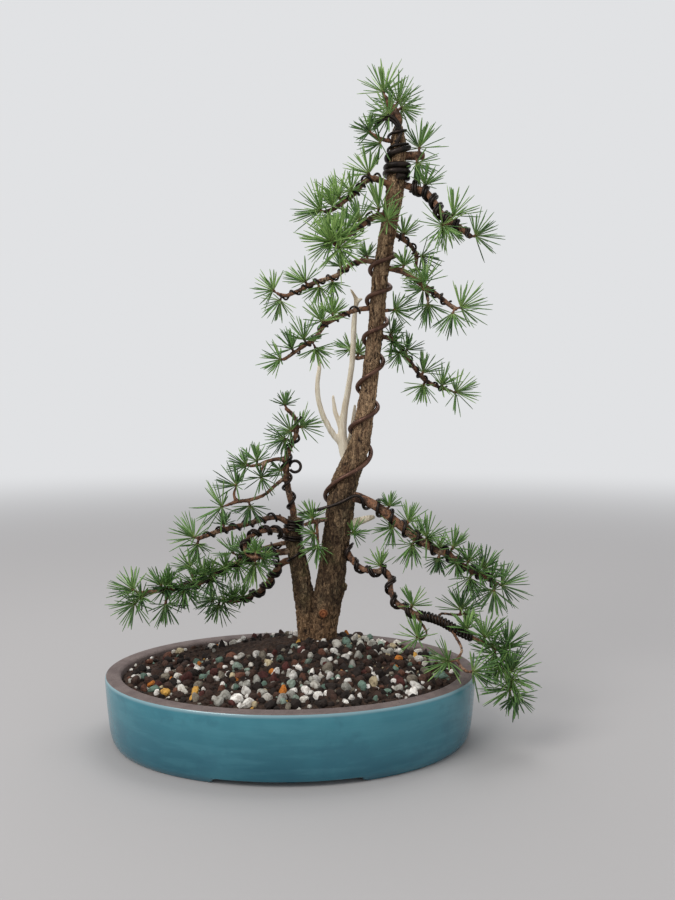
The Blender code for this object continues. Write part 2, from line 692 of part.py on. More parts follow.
def make_three_sided():
    """The section of a thin wire, one millimetre from its middle to its corners."""
    curve = bpy.data.curves.new("three_sided", "CURVE")
    curve.dimensions = "2D"
    spline = curve.splines.new("POLY")
    spline.points.add(2)
    spline.use_cyclic_u = True
    for k, point in enumerate(spline.points):
        angle = 2 * math.pi * k / 3
        point.co = (MM * math.cos(angle), MM * math.sin(angle), 0, 1)
    section = bpy.data.objects.new("three_sided", curve)
    section.hide_render = True
    section.display_type = "WIRE"
    cutters.objects.link(section)
    return section


class Rods:
    """Round rods, standing for wood, wire and needles, that later needles must clear."""

    def __init__(self, room=30000):
        self.start = np.zeros((room, 3))
        self.end = np.zeros((room, 3))
        self.radius = np.zeros(room)
        self.owner = np.zeros(room, int)
        self.count = 0

    def add(self, start, end, radius, owner):
        self.start[self.count] = start
        self.end[self.count] = end
        self.radius[self.count] = radius
        self.owner[self.count] = owner
        self.count += 1

    def add_path(self, samples, owner):
        for a, b in zip(samples[:-1], samples[1:]):
            self.add(a[:3], b[:3], max(a[3], b[3]), owner)

    def gap(self, p, q, radius, skip=()):
        """The least room between a rod from p to q and all the rods but the skipped ones."""
        kept = ~np.isin(self.owner[:self.count], list(skip))
        a = self.start[:self.count][kept]
        b = self.end[:self.count][kept]
        near = self.radius[:self.count][kept] + radius
        d1 = q - p
        d2 = b - a
        r = p - a
        aa = float(d1 @ d1) + 1e-12
        ee = np.einsum("ij,ij->i", d2, d2) + 1e-12
        ff = np.einsum("ij,ij->i", d2, r)
        cc = r @ d1
        bb = d2 @ d1
        s = np.clip((bb * ff - cc * ee) / np.maximum(aa * ee - bb * bb, 1e-12), 0, 1)
        t = (bb * s + ff) / ee
        s = np.where(t < 0, np.clip(-cc / aa, 0, 1), np.where(t > 1, np.clip((bb - cc) / aa, 0, 1), s))
        t = np.clip(t, 0, 1)
        apart = (p + np.outer(s, d1)) - (a + d2 * t[:, None])
        return float(np.min(np.linalg.norm(apart, axis=1) - near))


# Pot

def pot_profile():
    """The pot's section along its long axis, from the middle of its floor up and round."""
    half = POT_LENGTH / 2
    rim = half - RIM_DEPTH
    return (
        (0, FLOOR_LEVEL), (half - 27, FLOOR_LEVEL), (half - 20, FLOOR_LEVEL + 2.5),
        (half - 15.5, 20), (rim - 1.8, RIM_LEVEL - 1.4), (rim, RIM_LEVEL),
        (half - 0.9, RIM_LEVEL), (half, RIM_LEVEL - 1.6), (half - 1.4, 29),
        (half - 3.2, 10), (half - 5.2, 1.4), (half - 8, FOOT_LEVEL),
        (half - 19, FOOT_LEVEL), (half - 21, UNDERSIDE_LEVEL), (0, UNDERSIDE_LEVEL),
    )


def inner_reach(height):
    """How far the pot's inside reaches along its long axis at a height."""
    inside = pot_profile()[1:6]
    return float(np.interp(height, [z for _, z in inside], [x for x, _ in inside]))


def squeeze(reach):
    """How far the pot's width is drawn in at this reach, as a share of its length."""
    return 1 - (POT_LENGTH - POT_WIDTH) / 2 / reach if reach > ROUND_UP_TO else 1


def make_pot():
    bm = bmesh.new()
    corners = [bm.verts.new((x, 0, z)) for x, z in pot_profile()]
    for a, b in zip(corners[:-1], corners[1:]):
        bm.edges.new((a, b))
    turned = add_object("pot", mesh_from(bm, "pot"), "glaze")
    screw = turned.modifiers.new("turn", "SCREW")
    screw.steps = POT_STEPS
    screw.render_steps = POT_STEPS
    screw.use_merge_vertices = True
    screw.merge_threshold = 0.0001
    turned.data = evaluated_mesh(turned)
    turned.modifiers.clear()
    for vertex in turned.data.vertices:
        reach = math.hypot(vertex.co.x, vertex.co.y) / MM
        vertex.co.y *= squeeze(reach)
    tools = [block("notch", (0, 0, FOOT_LEVEL), (NOTCH_LENGTH, POT_WIDTH * 2, NOTCH_HEIGHT * 2))]
    for side in (-1, 1):
        tools.append(rod("drain", (side * DRAIN_OFFSET, 0, UNDERSIDE_LEVEL - 3),
                          (side * DRAIN_OFFSET, 0, FLOOR_LEVEL + 3), DRAIN_DIAMETER / 2,
                          DRAIN_SIDES))
    return combine(turned, tools, "DIFFERENCE")


def block(name, centre, size):
    bm = bmesh.new()
    bmesh.ops.create_cube(bm, size=1)
    bmesh.ops.scale(bm, vec=size, verts=bm.verts)
    bmesh.ops.translate(bm, vec=centre, verts=bm.verts)
    return add_object(name, mesh_from(bm, name), "mesh")


def rod(name, start, end, radius, sides, finish_name="mesh"):
    bm = bmesh.new()
    start, end = Vector(start), Vector(end)
    bmesh.ops.create_cone(bm, cap_ends=True, segments=sides, radius1=radius, radius2=radius,
                          depth=(end - start).length)
    turn = Vector((0, 0, 1)).rotation_difference(end - start).to_matrix()
    bmesh.ops.rotate(bm, matrix=turn, verts=bm.verts)
    bmesh.ops.translate(bm, vec=(start + end) / 2, verts=bm.verts)
    return add_object(name, mesh_from(bm, name), finish_name)


def make_screen(name, side):
    """A square of plastic mesh lying on the pot's floor over a drainage hole."""
    bm = bmesh.new()
    half = SCREEN_CELL * SCREEN_CELLS / 2
    bmesh.ops.create_grid(bm, x_segments=SCREEN_CELLS, y_segments=SCREEN_CELLS, size=half)
    holes = []
    for face in bm.faces:
        middle = face.calc_center_median()
        column = int((middle.x + half) // SCREEN_CELL)
        row = int((middle.y + half) // SCREEN_CELL)
        if column % 2 == 1 and row % 2 == 1:
            holes.append(face)
    bmesh.ops.delete(bm, geom=holes, context="FACES")
    bmesh.ops.solidify(bm, geom=bm.faces[:], thickness=SCREEN_THICKNESS)
    bmesh.ops.recalc_face_normals(bm, faces=bm.faces)
    low = min(v.co.z for v in bm.verts)
    bmesh.ops.translate(bm, vec=(side * DRAIN_OFFSET, 0, FLOOR_LEVEL + GAP - low), verts=bm.verts)
    return add_object(name, mesh_from(bm, name), "mesh")


# Soil

def soil_height(x, y):
    """The smooth top of the soil: low at the rim and mounded round the trunks."""
    reach = (2 * x / POT_LENGTH) ** 2 + (2 * y / POT_WIDTH) ** 2
    away = (x - MAIN_STEM[0]) ** 2 + (y - MAIN_STEM[1]) ** 2
    mound = math.exp(-away / (2 * SOIL_SPREAD ** 2)) * max(0.0, 1 - reach ** 2)
    return SOIL_EDGE_LEVEL + SOIL_RISE * mound


def oval_ring(reach, height):
    ring = []
    for k in range(POT_STEPS):
        angle = 2 * math.pi * k / POT_STEPS
        ring.append((reach * math.cos(angle), reach * squeeze(reach) * math.sin(angle), height))
    return ring


def grain_points(reach):
    """Jittered points over the soil, about a grain apart and clear of its edge."""
    points = []
    rows = int(reach / GRAIN_SPACING) + 1
    for row in range(-rows, rows + 1):
        for column in range(-rows, rows + 1):
            x = (column + 0.5 * (row % 2)) * GRAIN_SPACING + random.uniform(-GRAIN_JITTER, GRAIN_JITTER)
            y = row * GRAIN_SPACING * GRAIN_ROW + random.uniform(-GRAIN_JITTER, GRAIN_JITTER)
            edge = reach - GRAIN_EDGE
            if (x / edge) ** 2 + (y / (edge * squeeze(edge))) ** 2 < 1:
                points.append((x, y))
    return points


def make_soil():
    levels = (SOIL_EDGE_LEVEL, 20.0, FLOOR_LEVEL + 2.5 + GAP, FLOOR_LEVEL + GAP)
    rings = [oval_ring(inner_reach(z - GAP) - 1.6 * GAP, z) for z in levels]
    edge = [(x, y) for x, y, _ in rings[0]]
    flat = [Vector(p) for p in edge + grain_points(inner_reach(SOIL_EDGE_LEVEL))]
    points, _, faces, _, _, _ = delaunay_2d_cdt(flat, [], [list(range(POT_STEPS))], 1, 0.001)
    bm = bmesh.new()
    top = []
    for k, point in enumerate(points):
        z = SOIL_EDGE_LEVEL
        if k >= POT_STEPS:
            z = soil_height(point.x, point.y) + random.uniform(GRAIN_LOW, GRAIN_HIGH)
        top.append(bm.verts.new((point.x, point.y, z)))
    for face in faces:
        bm.faces.new([top[k] for k in face])
    upper = top[:POT_STEPS]
    for ring in rings[1:]:
        lower = [bm.verts.new(p) for p in ring]
        for k in range(POT_STEPS):
            j = (k + 1) % POT_STEPS
            bm.faces.new((upper[k], lower[k], lower[j], upper[j]))
        upper = lower
    bm.faces.new(list(reversed(upper)))
    bmesh.ops.recalc_face_normals(bm, faces=bm.faces)
    body = add_object("soil", mesh_from(bm, "soil"), "granules")
    tools = []
    for x, y, radius in (MAIN_STEM, SECOND_STEM):
        tools.append(rod("stem_hole", (x, y, STEM_FOOT - GAP), (x, y, STEM_TOP + SOIL_RISE),
                         radius + STEM_PLAY, STEM_SIDES))
    side = SCREEN_CELL * SCREEN_CELLS + 2 * GAP
    tall = 2 * (SCREEN_THICKNESS + 2 * GAP)
    for way in (-1, 1):
        tools.append(block("screen_bed", (way * DRAIN_OFFSET, 0, FLOOR_LEVEL), (side, side, tall)))
    return combine(body, tools, "DIFFERENCE")


# Trunk and deadwood

def roughen(thing):
    """Raise the bark's flakes above the soil, with none on the part in the ground."""
    mesh = thing.data
    normals = [v.normal.copy() for v in mesh.vertices]
    for vertex, normal in zip(mesh.vertices, normals):
        height = vertex.co.z / MM
        strength = min(1.0, max(0.0, (height - STEM_TOP - BARK_START) / BARK_FADE))
        where = vertex.co / (MM * BARK_GRAIN)
        vertex.co += normal * MM * BARK_RELIEF * strength * noise.noise(where)
    mesh.update()


def make_trunk():
    main = tube("trunk", smooth_path(MAIN_TRUNK, TRUNK_STEP), "bark", 4)
    second = tube("second", smooth_path(SECOND_TRUNK, TRUNK_STEP), "bark", 3)
    roughen(main)
    roughen(second)
    parts = [second]
    for x, y, z, radius, way, length in KNOBS:
        end = Vector((x, y, z)) + Vector(way).normalized() * (length + 2 * radius)
        parts.append(rod("knob", (x, y, z), end - Vector(way).normalized() * radius, radius, 8))
    return combine(main, parts)


def swollen_copy(thing):
    """A copy of a piece, grown all round by the gap, to cut its neighbours with."""
    mesh = thing.data.copy()
    copy = bpy.data.objects.new("swollen", mesh)
    bonsai.objects.link(copy)
    for vertex, normal in zip(mesh.vertices, [v.normal.copy() for v in thing.data.vertices]):
        vertex.co += normal * MM * GAP * CUT_SHARE
    return copy


def make_deadwood(name, limbs, trunk, owner):
    paths = [smooth_path(limb, JIN_STEP) for limb in limbs]
    pieces = []
    for k, path in enumerate(paths):
        pieces.append(tube(name if k == 0 else name + "_limb", path, "deadwood", 1))
    body = pieces[0]
    if len(pieces) > 1:
        body = combine(body, pieces[1:])
    for path in paths:
        rods.add_path(path, owner)
    return combine(body, [swollen_copy(trunk)], "DIFFERENCE")


# Wire

def wire_object(name, points, radius, finish_name, resolution=None):
    rows = [(*point, radius) for point in points]
    for a, b in zip(points[:-1], points[1:]):
        rods.add(a, b, radius, WIRE_OWNER)
    return tube(name, rows, finish_name, resolution)


def turned_wire(path, turns, radius, points_per_turn):
    """Points of a wire wound up a trunk through the given heights and quarter turns."""
    heights = [z for z, _ in turns]
    quarters = [q for _, q in turns]
    count = int((quarters[-1] - quarters[0]) / 4 * points_per_turn)
    points = []
    for k in range(count + 1):
        quarter = quarters[0] + (quarters[-1] - quarters[0]) * k / count
        z = np.interp(quarter, quarters, heights)
        length = np.interp(z, path.points[:, 2], path.lengths)
        centre = path.place(length)
        along = path.frame(length)[0]
        angle = quarter * math.pi / 2
        way = np.array((math.cos(angle), math.sin(angle), 0))
        way = unit(way - along * np.dot(way, along))
        reach = path.radius(length) + BARK_RELIEF * 0.6 + radius + GAP
        points.append(centre + way * reach / math.cos(math.pi / points_per_turn))
    return points


def coil(path, start, end, rise, radius, phase):
    """Points of a wire wound along a branch, pushed outward where it would bite the wood."""
    count = int((end - start) / rise * WIRE_POINTS_PER_TURN)
    stand_off = 1 / math.cos(math.pi / WIRE_POINTS_PER_TURN)
    points = []
    ways = []
    for k in range(count + 1):
        length = start + (end - start) * k / count
        along, side, other = path.frame(length)
        angle = phase + 2 * math.pi * k / WIRE_POINTS_PER_TURN
        way = side * math.cos(angle) + other * math.sin(angle)
        points.append(path.place(length) + way * (path.radius(length) + radius + GAP) * stand_off)
        ways.append(way)
    for _ in range(WIRE_PUSHES):
        for k in range(count):
            short = GAP - path.wood.gap(points[k], points[k + 1], radius)
            if short > 0:
                points[k] = points[k] + ways[k] * (short + WIRE_PUSH_EXTRA)
                points[k + 1] = points[k + 1] + ways[k + 1] * (short + WIRE_PUSH_EXTRA)
    return points


def best_coil(path, wire, owner):
    """The coil whose start angle leaves the most room to the twigs and to other wood."""
    start, end, rise, radius = wire
    best_points, best_room = None, -math.inf
    for stretch in WIRE_STRETCHES:
        for k in range(WIRE_PHASES):
            phase = 2 * math.pi * k / WIRE_PHASES
            points = coil(path, start, end, rise * stretch, radius, phase)
            room = min(rods.gap(a, b, radius, (owner,)) for a, b in zip(points[:-1], points[1:]))
            if room > best_room:
                best_points, best_room = points, room
        if best_room > 2 * GAP:
            break
    return best_points


def led_coil(path, wire, lead):
    """A coil that a led-in stretch of wire runs on into, from the phase that lies nearest to it."""
    start, end, rise, radius = wire
    lead = [np.array(point, float) for point in lead]
    best_points, best_apart = None, math.inf
    for k in range(WIRE_PHASES):
        turns = coil(path, start, end, rise, radius, 2 * math.pi * k / WIRE_PHASES)
        apart = np.linalg.norm(turns[0] - lead[-1])
        if apart < best_apart:
            best_points, best_apart = lead + turns, apart
    return best_points


# Needles

def over_pot(point, margin):
    """Whether a point keeps clear of the soil, the rim and the pot's wall."""
    x, y, z = point
    reach = (x / (POT_LENGTH / 2 + margin)) ** 2 + (y / (POT_WIDTH / 2 + margin)) ** 2
    if reach > 1:
        return z > FOOT_LEVEL + margin
    inside = (2 * x / (POT_LENGTH - 2 * RIM_DEPTH)) ** 2 + (2 * y / (POT_WIDTH - 2 * RIM_DEPTH)) ** 2
    floor = soil_height(x, y) + GRAIN_HIGH if inside < 1 else RIM_LEVEL
    return z > max(floor, RIM_LEVEL) + margin


def needle_is_clear(start, tip, spray_owner, sisters):
    if rods.gap(start, tip, NEEDLE_CLEAR, (spray_owner,)) < GAP:
        return False
    for share in NEEDLE_CHECKS:
        if not over_pot(start + (tip - start) * share, NEEDLE_POT_ROOM):
            return False
    way = unit(tip - start)
    return all(np.dot(way, other) < NEEDLE_SISTER_FACING for other in sisters)


def needle_tip(base, way, length, spray_owner, sisters):
    """The tip of a needle, bent or shortened where something is in its way."""
    start = base + way * NEEDLE_FOOT
    for attempt in range(NEEDLE_TRIES):
        bend = NEEDLE_JITTER + NEEDLE_JITTER_STEP * attempt
        turned = unit(way + np.array([random.uniform(-bend, bend) for _ in range(3)]))
        reach = length * random.uniform(NEEDLE_SHORTEST, NEEDLE_LONGEST)
        tip = base + turned * reach * (1 - NEEDLE_SHORTER_STEP * attempt)
        ahead = np.dot(turned, way) > NEEDLE_LEAST_FACING
        if ahead and needle_is_clear(start, tip, spray_owner, sisters):
            return tip, turned
    return None, way


def spray_core(centre, facing, root, spin):
    """A bud-like core drawn out to a point in the wood's heart, and its faces that bear needles."""
    bm = bmesh.new()
    bmesh.ops.create_icosphere(bm, subdivisions=1, radius=CORE_RADIUS)
    turn = Vector((0, 0, 1)).rotation_difference(Vector(facing)).to_matrix()
    bmesh.ops.rotate(bm, matrix=Matrix.Rotation(spin, 3, "Z"), verts=bm.verts)
    lowest = min(bm.verts, key=lambda v: v.co.z)
    under = set(lowest.link_faces)
    bmesh.ops.rotate(bm, matrix=turn, verts=bm.verts)
    bmesh.ops.translate(bm, vec=centre, verts=bm.verts)
    lowest.co = root
    bm.normal_update()
    return bm, [face for face in bm.faces if face not in under]


def spray_object(name, centre, facing, root, length, spray_owner):
    """One spray of needles as a closed body with its stalk sunk into the wood."""
    bm, bearing = spray_core(centre, facing, root, random.uniform(0, 2 * math.pi))
    facing = unit(facing)
    sisters = []
    tips = []
    for face in bearing:
        base = np.array(face.calc_center_median())
        way = unit(np.array(face.normal) + facing * NEEDLE_LIFT)
        tip, way = needle_tip(base, way, length, spray_owner, sisters)
        if tip is None:
            tips.append((face, base + way * STUB_NEEDLE))
            continue
        sisters.append(way)
        tips.append((face, tip))
        rods.add(base, tip, NEEDLE_CLEAR, spray_owner)
    for face, tip in tips:
        poked = bmesh.ops.poke(bm, faces=[face])
        poked["verts"][0].co = tip
    return add_object(name, mesh_from(bm, name), "leafy")


def seat_spray(paths, place, facing, branch_owner, spray_owner):
    """Find a spray's root on the wood and slide it to where its stalk clears every wire."""
    place = np.array(place, float)
    facing = unit(facing)
    found = [path.nearest(place) for path in paths]
    which = int(np.argmin([distance for _, distance in found]))
    path, length = paths[which], found[which][0]
    offset = place - path.place(length)
    need = path.radius(length) + CORE_CLEAR
    if np.linalg.norm(offset) < need:
        offset = unit(offset + facing * 2) * need
    best = None
    fused = [branch_owner, *range(branch_owner * 100, spray_owner)]
    twigs = range(branch_owner * 100 + TWIGS_FROM, branch_owner * 100 + 100)
    steps = round(SLIDE_REACH / SLIDE_STEP)
    for slide in sorted((k * SLIDE_STEP for k in range(-steps, steps + 1)), key=abs):
        at = min(max(length + slide, 2.0), path.total - ROOT_DEPTH)
        root = path.place(at)
        centre = root + offset
        stalk_room = rods.gap(root, centre, STALK_ROOM, (*fused, *twigs))
        core_room = rods.gap(centre, centre + facing * 0.1, CORE_RADIUS + CORE_ROOM,
                             (branch_owner, *twigs))
        room = min(stalk_room, core_room)
        if best is None or room > best[0] + 0.01:
            best = (room, root, centre)
        if room > GAP:
            break
    rods.add(best[1], best[2], STALK_RADIUS, spray_owner)
    return best[1], best[2], facing


# Branches

def make_branch_wood(spec, owner):
    """The paths of a branch and its twigs, entered as rods that other pieces must clear."""
    paths = [smooth_path(limb, WOOD_STEP) for limb in spec["wood"]]
    for k, path in enumerate(paths):
        rods.add_path(path, owner if k == 0 else owner * 100 + TWIGS_FROM + k)
    return [Path(path) for path in paths]


def make_branch_wire(name, spec, path, owner):
    if "wire_start" in spec:
        points = led_coil(path, spec["wire"], spec["wire_start"])
    else:
        points = best_coil(path, spec["wire"], owner)
    wire_name = name.replace("branch", "wire") if "branch" in name else name + "_wire"
    wire_object(wire_name, points, spec["wire"][3], "dark_wire")


def make_branch(name, spec, paths, seats, owner, trunk):
    pieces = [tube(name, paths[0].samples, "leafy", 1)]
    for path in paths[1:]:
        pieces.append(tube(name + "_limb", path.samples, "leafy", 0))
    for k, (root, centre, facing) in enumerate(seats):
        length = spec["sprays"][k][2]
        pieces.append(spray_object(name + "_spray", centre, facing, root, length, owner * 100 + k + 1))
    body = combine(pieces[0], pieces[1:])
    return combine(body, [swollen_copy(trunk)], "DIFFERENCE")


def make_tree():
    trunk = make_trunk()
    main_path = Path(smooth_path(MAIN_TRUNK, TRUNK_STEP))
    second_samples = smooth_path(SECOND_TRUNK, TRUNK_STEP)
    rods.add_path(main_path.samples, TRUNK_OWNER)
    rods.add_path(second_samples, TRUNK_OWNER)
    make_deadwood("jin_main", JIN_MAIN, trunk, DEADWOOD_OWNER)
    make_deadwood("jin_right", JIN_RIGHT, trunk, DEADWOOD_OWNER)
    owners = {name: k + FIRST_BRANCH_OWNER for k, name in enumerate(BRANCHES)}
    paths = {name: make_branch_wood(spec, owners[name]) for name, spec in BRANCHES.items()}
    turns = turned_wire(main_path, TRUNK_WIRE_TURNS, TRUNK_WIRE_RADIUS, TRUNK_WIRE_POINTS)
    wire_object("trunk_wire", turns, TRUNK_WIRE_RADIUS, "copper_wire", 1)
    turns = turned_wire(main_path, CROWN_WIRE_TURNS, CROWN_WIRE_RADIUS, TRUNK_WIRE_POINTS)
    wire_object("crown_wire", turns, CROWN_WIRE_RADIUS, "dark_wire")
    for name, spec in BRANCHES.items():
        if "wire" in spec:
            make_branch_wire(name, spec, paths[name][0], owners[name])
    seats = {}
    for name, spec in BRANCHES.items():
        owner = owners[name]
        seats[name] = [seat_spray(paths[name], place, facing, owner, owner * 100 + k + 1)
                       for k, (place, facing, _) in enumerate(spec["sprays"])]
    for name, spec in BRANCHES.items():
        make_branch(name, spec, paths[name], seats[name], owners[name], trunk)


def stand_on_origin():
    """Bring the middle of the whole object's box over the origin."""
    bpy.context.view_layer.update()
    corners = []
    for thing in bonsai.objects:
        corners += [thing.matrix_world @ vertex.co for vertex in thing.data.vertices]
    low = Vector([min(c[k] for c in corners) for k in range(3)])
    high = Vector([max(c[k] for c in corners) for k in range(3)])
    middle = (low + high) / 2
    stand = bpy.data.objects.new("stand", None)
    bonsai.objects.link(stand)
    stand.location = (-middle.x, -middle.y, -low.z)
    for thing in bonsai.objects:
        if thing is not stand:
            thing.parent = stand


clear_scene()
bonsai = bpy.data.collections.new("larch_bonsai")
bpy.context.scene.collection.children.link(bonsai)
cutters = bpy.data.collections.new("sections")
bpy.context.scene.collection.children.link(cutters)
three_sided = make_three_sided()
rods = Rods()
make_pot()
make_screen("drainage_mesh_left", -1)
make_screen("drainage_mesh_right", 1)
make_soil()
make_tree()
stand_on_origin()
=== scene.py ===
import json
import math
import random

import bmesh
import bpy
import numpy as np
from mathutils import Matrix, Vector, noise
from mathutils.bvhtree import BVHTree

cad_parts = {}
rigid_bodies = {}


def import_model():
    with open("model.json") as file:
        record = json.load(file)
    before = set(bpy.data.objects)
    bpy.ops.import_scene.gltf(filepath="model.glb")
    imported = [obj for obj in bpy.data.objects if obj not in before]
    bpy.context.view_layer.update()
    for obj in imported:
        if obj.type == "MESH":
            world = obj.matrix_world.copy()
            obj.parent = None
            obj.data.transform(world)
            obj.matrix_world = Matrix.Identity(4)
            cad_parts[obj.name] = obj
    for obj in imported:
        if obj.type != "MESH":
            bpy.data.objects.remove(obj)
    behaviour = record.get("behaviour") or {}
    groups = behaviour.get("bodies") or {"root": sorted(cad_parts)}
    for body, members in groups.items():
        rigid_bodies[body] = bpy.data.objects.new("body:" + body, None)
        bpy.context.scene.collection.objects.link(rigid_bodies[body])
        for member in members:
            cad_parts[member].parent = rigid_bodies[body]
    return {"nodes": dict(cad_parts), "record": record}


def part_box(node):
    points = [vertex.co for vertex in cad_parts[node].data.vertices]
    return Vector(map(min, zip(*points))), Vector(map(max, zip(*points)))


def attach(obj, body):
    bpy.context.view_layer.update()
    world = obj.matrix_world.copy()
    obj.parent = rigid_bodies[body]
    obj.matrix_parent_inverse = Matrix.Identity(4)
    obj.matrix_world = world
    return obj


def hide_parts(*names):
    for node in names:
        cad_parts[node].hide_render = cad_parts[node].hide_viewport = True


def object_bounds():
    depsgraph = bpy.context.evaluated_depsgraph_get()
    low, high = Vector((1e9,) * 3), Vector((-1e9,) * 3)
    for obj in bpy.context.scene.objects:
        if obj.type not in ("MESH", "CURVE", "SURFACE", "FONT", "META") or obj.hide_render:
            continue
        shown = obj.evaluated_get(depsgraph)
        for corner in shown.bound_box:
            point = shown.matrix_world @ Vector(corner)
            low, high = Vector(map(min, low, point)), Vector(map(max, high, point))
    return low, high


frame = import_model()
cadLow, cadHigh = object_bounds()
cadNodes = frame["nodes"]
potLow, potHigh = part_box("pot")
potMiddle = Vector(((potLow.x + potHigh.x) / 2, (potLow.y + potHigh.y) / 2, 0))
mm = 0.001
datumLevel = 3             # the drawing's datum lies this many millimetres over the table
mergeDistance = 0.000005
goldenTurn = 2.39996       # spreads points evenly over a ball
random.seed(71)

subparts = frame["record"]["subparts"]
leafyNodes = [row["node"] for row in subparts if row["material_slot"] == "leafy"]
wireNodes = [row["node"] for row in subparts if "wire" in row["material_slot"]]


def spot(across, back, up):
    # a place given in millimetres from the middle of the pot and from the drawing's datum
    return Vector((across * mm + potMiddle.x, back * mm + potMiddle.y, (up + datumLevel) * mm))


def titled(name):
    return "".join(word.title() for word in name.split("_"))


# Meshes

def readNode(name):
    shape = bmesh.new()
    shape.from_mesh(cadNodes[name].data)
    bmesh.ops.remove_doubles(shape, verts=shape.verts, dist=mergeDistance)
    return shape


def meshOf(shape, name):
    mesh = bpy.data.meshes.new(name)
    shape.to_mesh(mesh)
    shape.free()
    return mesh


def addLine(shape, places):
    corners = [shape.verts.new(place) for place in places]
    for a, b in zip(corners[:-1], corners[1:]):
        shape.edges.new((a, b))


def looseObject(name, mesh):
    thing = bpy.data.objects.new(name, mesh)
    bpy.context.scene.collection.objects.link(thing)
    return thing


def addModifier(thing, kind, **settings):
    made = thing.modifiers.new(kind.lower(), kind)
    for key, value in settings.items():
        setattr(made, key, value)
    return made


def settledMesh(thing):
    # the evaluated mesh of an object, and the object itself goes
    graph = bpy.context.evaluated_depsgraph_get()
    mesh = bpy.data.meshes.new_from_object(thing.evaluated_get(graph))
    bpy.data.objects.remove(thing, do_unlink=True)
    return mesh


def clearCollection(collection):
    for thing in list(collection.objects):
        bpy.data.objects.remove(thing, do_unlink=True)
    bpy.data.collections.remove(collection)


def readPoints(mesh, what="co"):
    flat = np.zeros(len(mesh.vertices) * 3)
    if what == "co":
        mesh.vertices.foreach_get("co", flat)
    else:
        mesh.vertex_normals.foreach_get("vector", flat)
    return flat.reshape(-1, 3)


def drawnPoints(mesh):
    # the mesh's points in the drawing's millimetres
    return (readPoints(mesh) - np.array(spot(0, 0, 0))) / mm


def writePoints(mesh, points):
    mesh.vertices.foreach_set("co", points.astype(np.float32).ravel())
    mesh.update()


def keepAttribute(mesh, name, values):
    made = mesh.attributes.new(name, "FLOAT", "POINT")
    made.data.foreach_set("value", np.asarray(values, np.float32))


def finishPiece(name, mesh, material, slotName, *replaced, smooth=True):
    mesh.materials.clear()
    mesh.materials.append(material)
    mesh.polygons.foreach_set("use_smooth", [smooth] * len(mesh.polygons))
    mesh.update()
    piece = looseObject(name, mesh)
    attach(piece, "root")
    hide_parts(*replaced)


trunkSurface = BVHTree.FromBMesh(readNode("trunk"))
rootReach = {"near": 0.9, "depth": 2.6}
rounding = {"joinFlat": 12, "joinSquare": 50, "levels": 2, "smoothing": 4, "softness": 0.5}


def rootInTrunk(shape):
    # the corners that face the trunk over the solids' gap are drawn into its wood
    for corner in shape.verts:
        place, normal, _, distance = trunkSurface.find_nearest(corner.co)
        if distance < rootReach["near"] * mm:
            corner.co = place - normal * rootReach["depth"] * mm


def grownMesh(shape, name, voxel):
    # rounds a faceted solid into a fine, even mesh
    bmesh.ops.join_triangles(shape, faces=shape.faces,
                             angle_face_threshold=math.radians(rounding["joinFlat"]),
                             angle_shape_threshold=math.radians(rounding["joinSquare"]))
    thing = looseObject(name, meshOf(shape, name))
    addModifier(thing, "SUBSURF", levels=rounding["levels"], render_levels=rounding["levels"])
    addModifier(thing, "REMESH", mode="VOXEL", voxel_size=voxel)
    addModifier(thing, "SMOOTH", iterations=rounding["smoothing"], factor=rounding["softness"])
    return settledMesh(thing)


# Node trees

socketKinds = {float: "Float", int: "Int"}


def newTree(name, kind, outputs, **inputs):
    # an input's value tells what kind it is, and an input with no value has its kind named
    tree = bpy.data.node_groups.new(name, kind)
    for label, value in inputs.items():
        named = isinstance(value, str)
        made = tree.interface.new_socket(
            label, in_out="INPUT", socket_type="NodeSocket" + (value if named else socketKinds[type(value)]))
        if not named:
            made.default_value = value
    for label, value in outputs.items():
        tree.interface.new_socket(label, in_out="OUTPUT", socket_type="NodeSocket" + value)
    return tree, tree.nodes.new("NodeGroupInput").outputs, tree.nodes.new("NodeGroupOutput").inputs


def addNode(tree, kind, inputs=None, **settings):
    made = tree.nodes.new(kind)
    for key, value in settings.items():
        setattr(made, key, value)
    for key, value in (inputs or {}).items():
        if isinstance(value, bpy.types.NodeSocket):
            tree.links.new(value, made.inputs[key])
        else:
            made.inputs[key].default_value = value
    return made


def endTree(tree, given, out, shown):
    real = addNode(tree, "GeometryNodeRealizeInstances", {"Geometry": shown})
    painted = addNode(tree, "GeometryNodeSetMaterial", {
        "Geometry": real.outputs["Geometry"], "Material": given["Material"]})
    tree.links.new(painted.outputs["Geometry"], out["Geometry"])
    return tree


def runTree(thing, tree, values):
    # the object's mesh after the tree, with the inputs set by their identifiers
    modifier = addModifier(thing, "NODES", node_group=tree)
    names = {item.name: item.identifier for item in tree.interface.items_tree if item.in_out == "INPUT"}
    for label, value in values.items():
        modifier[names[label]] = value
    return settledMesh(thing)


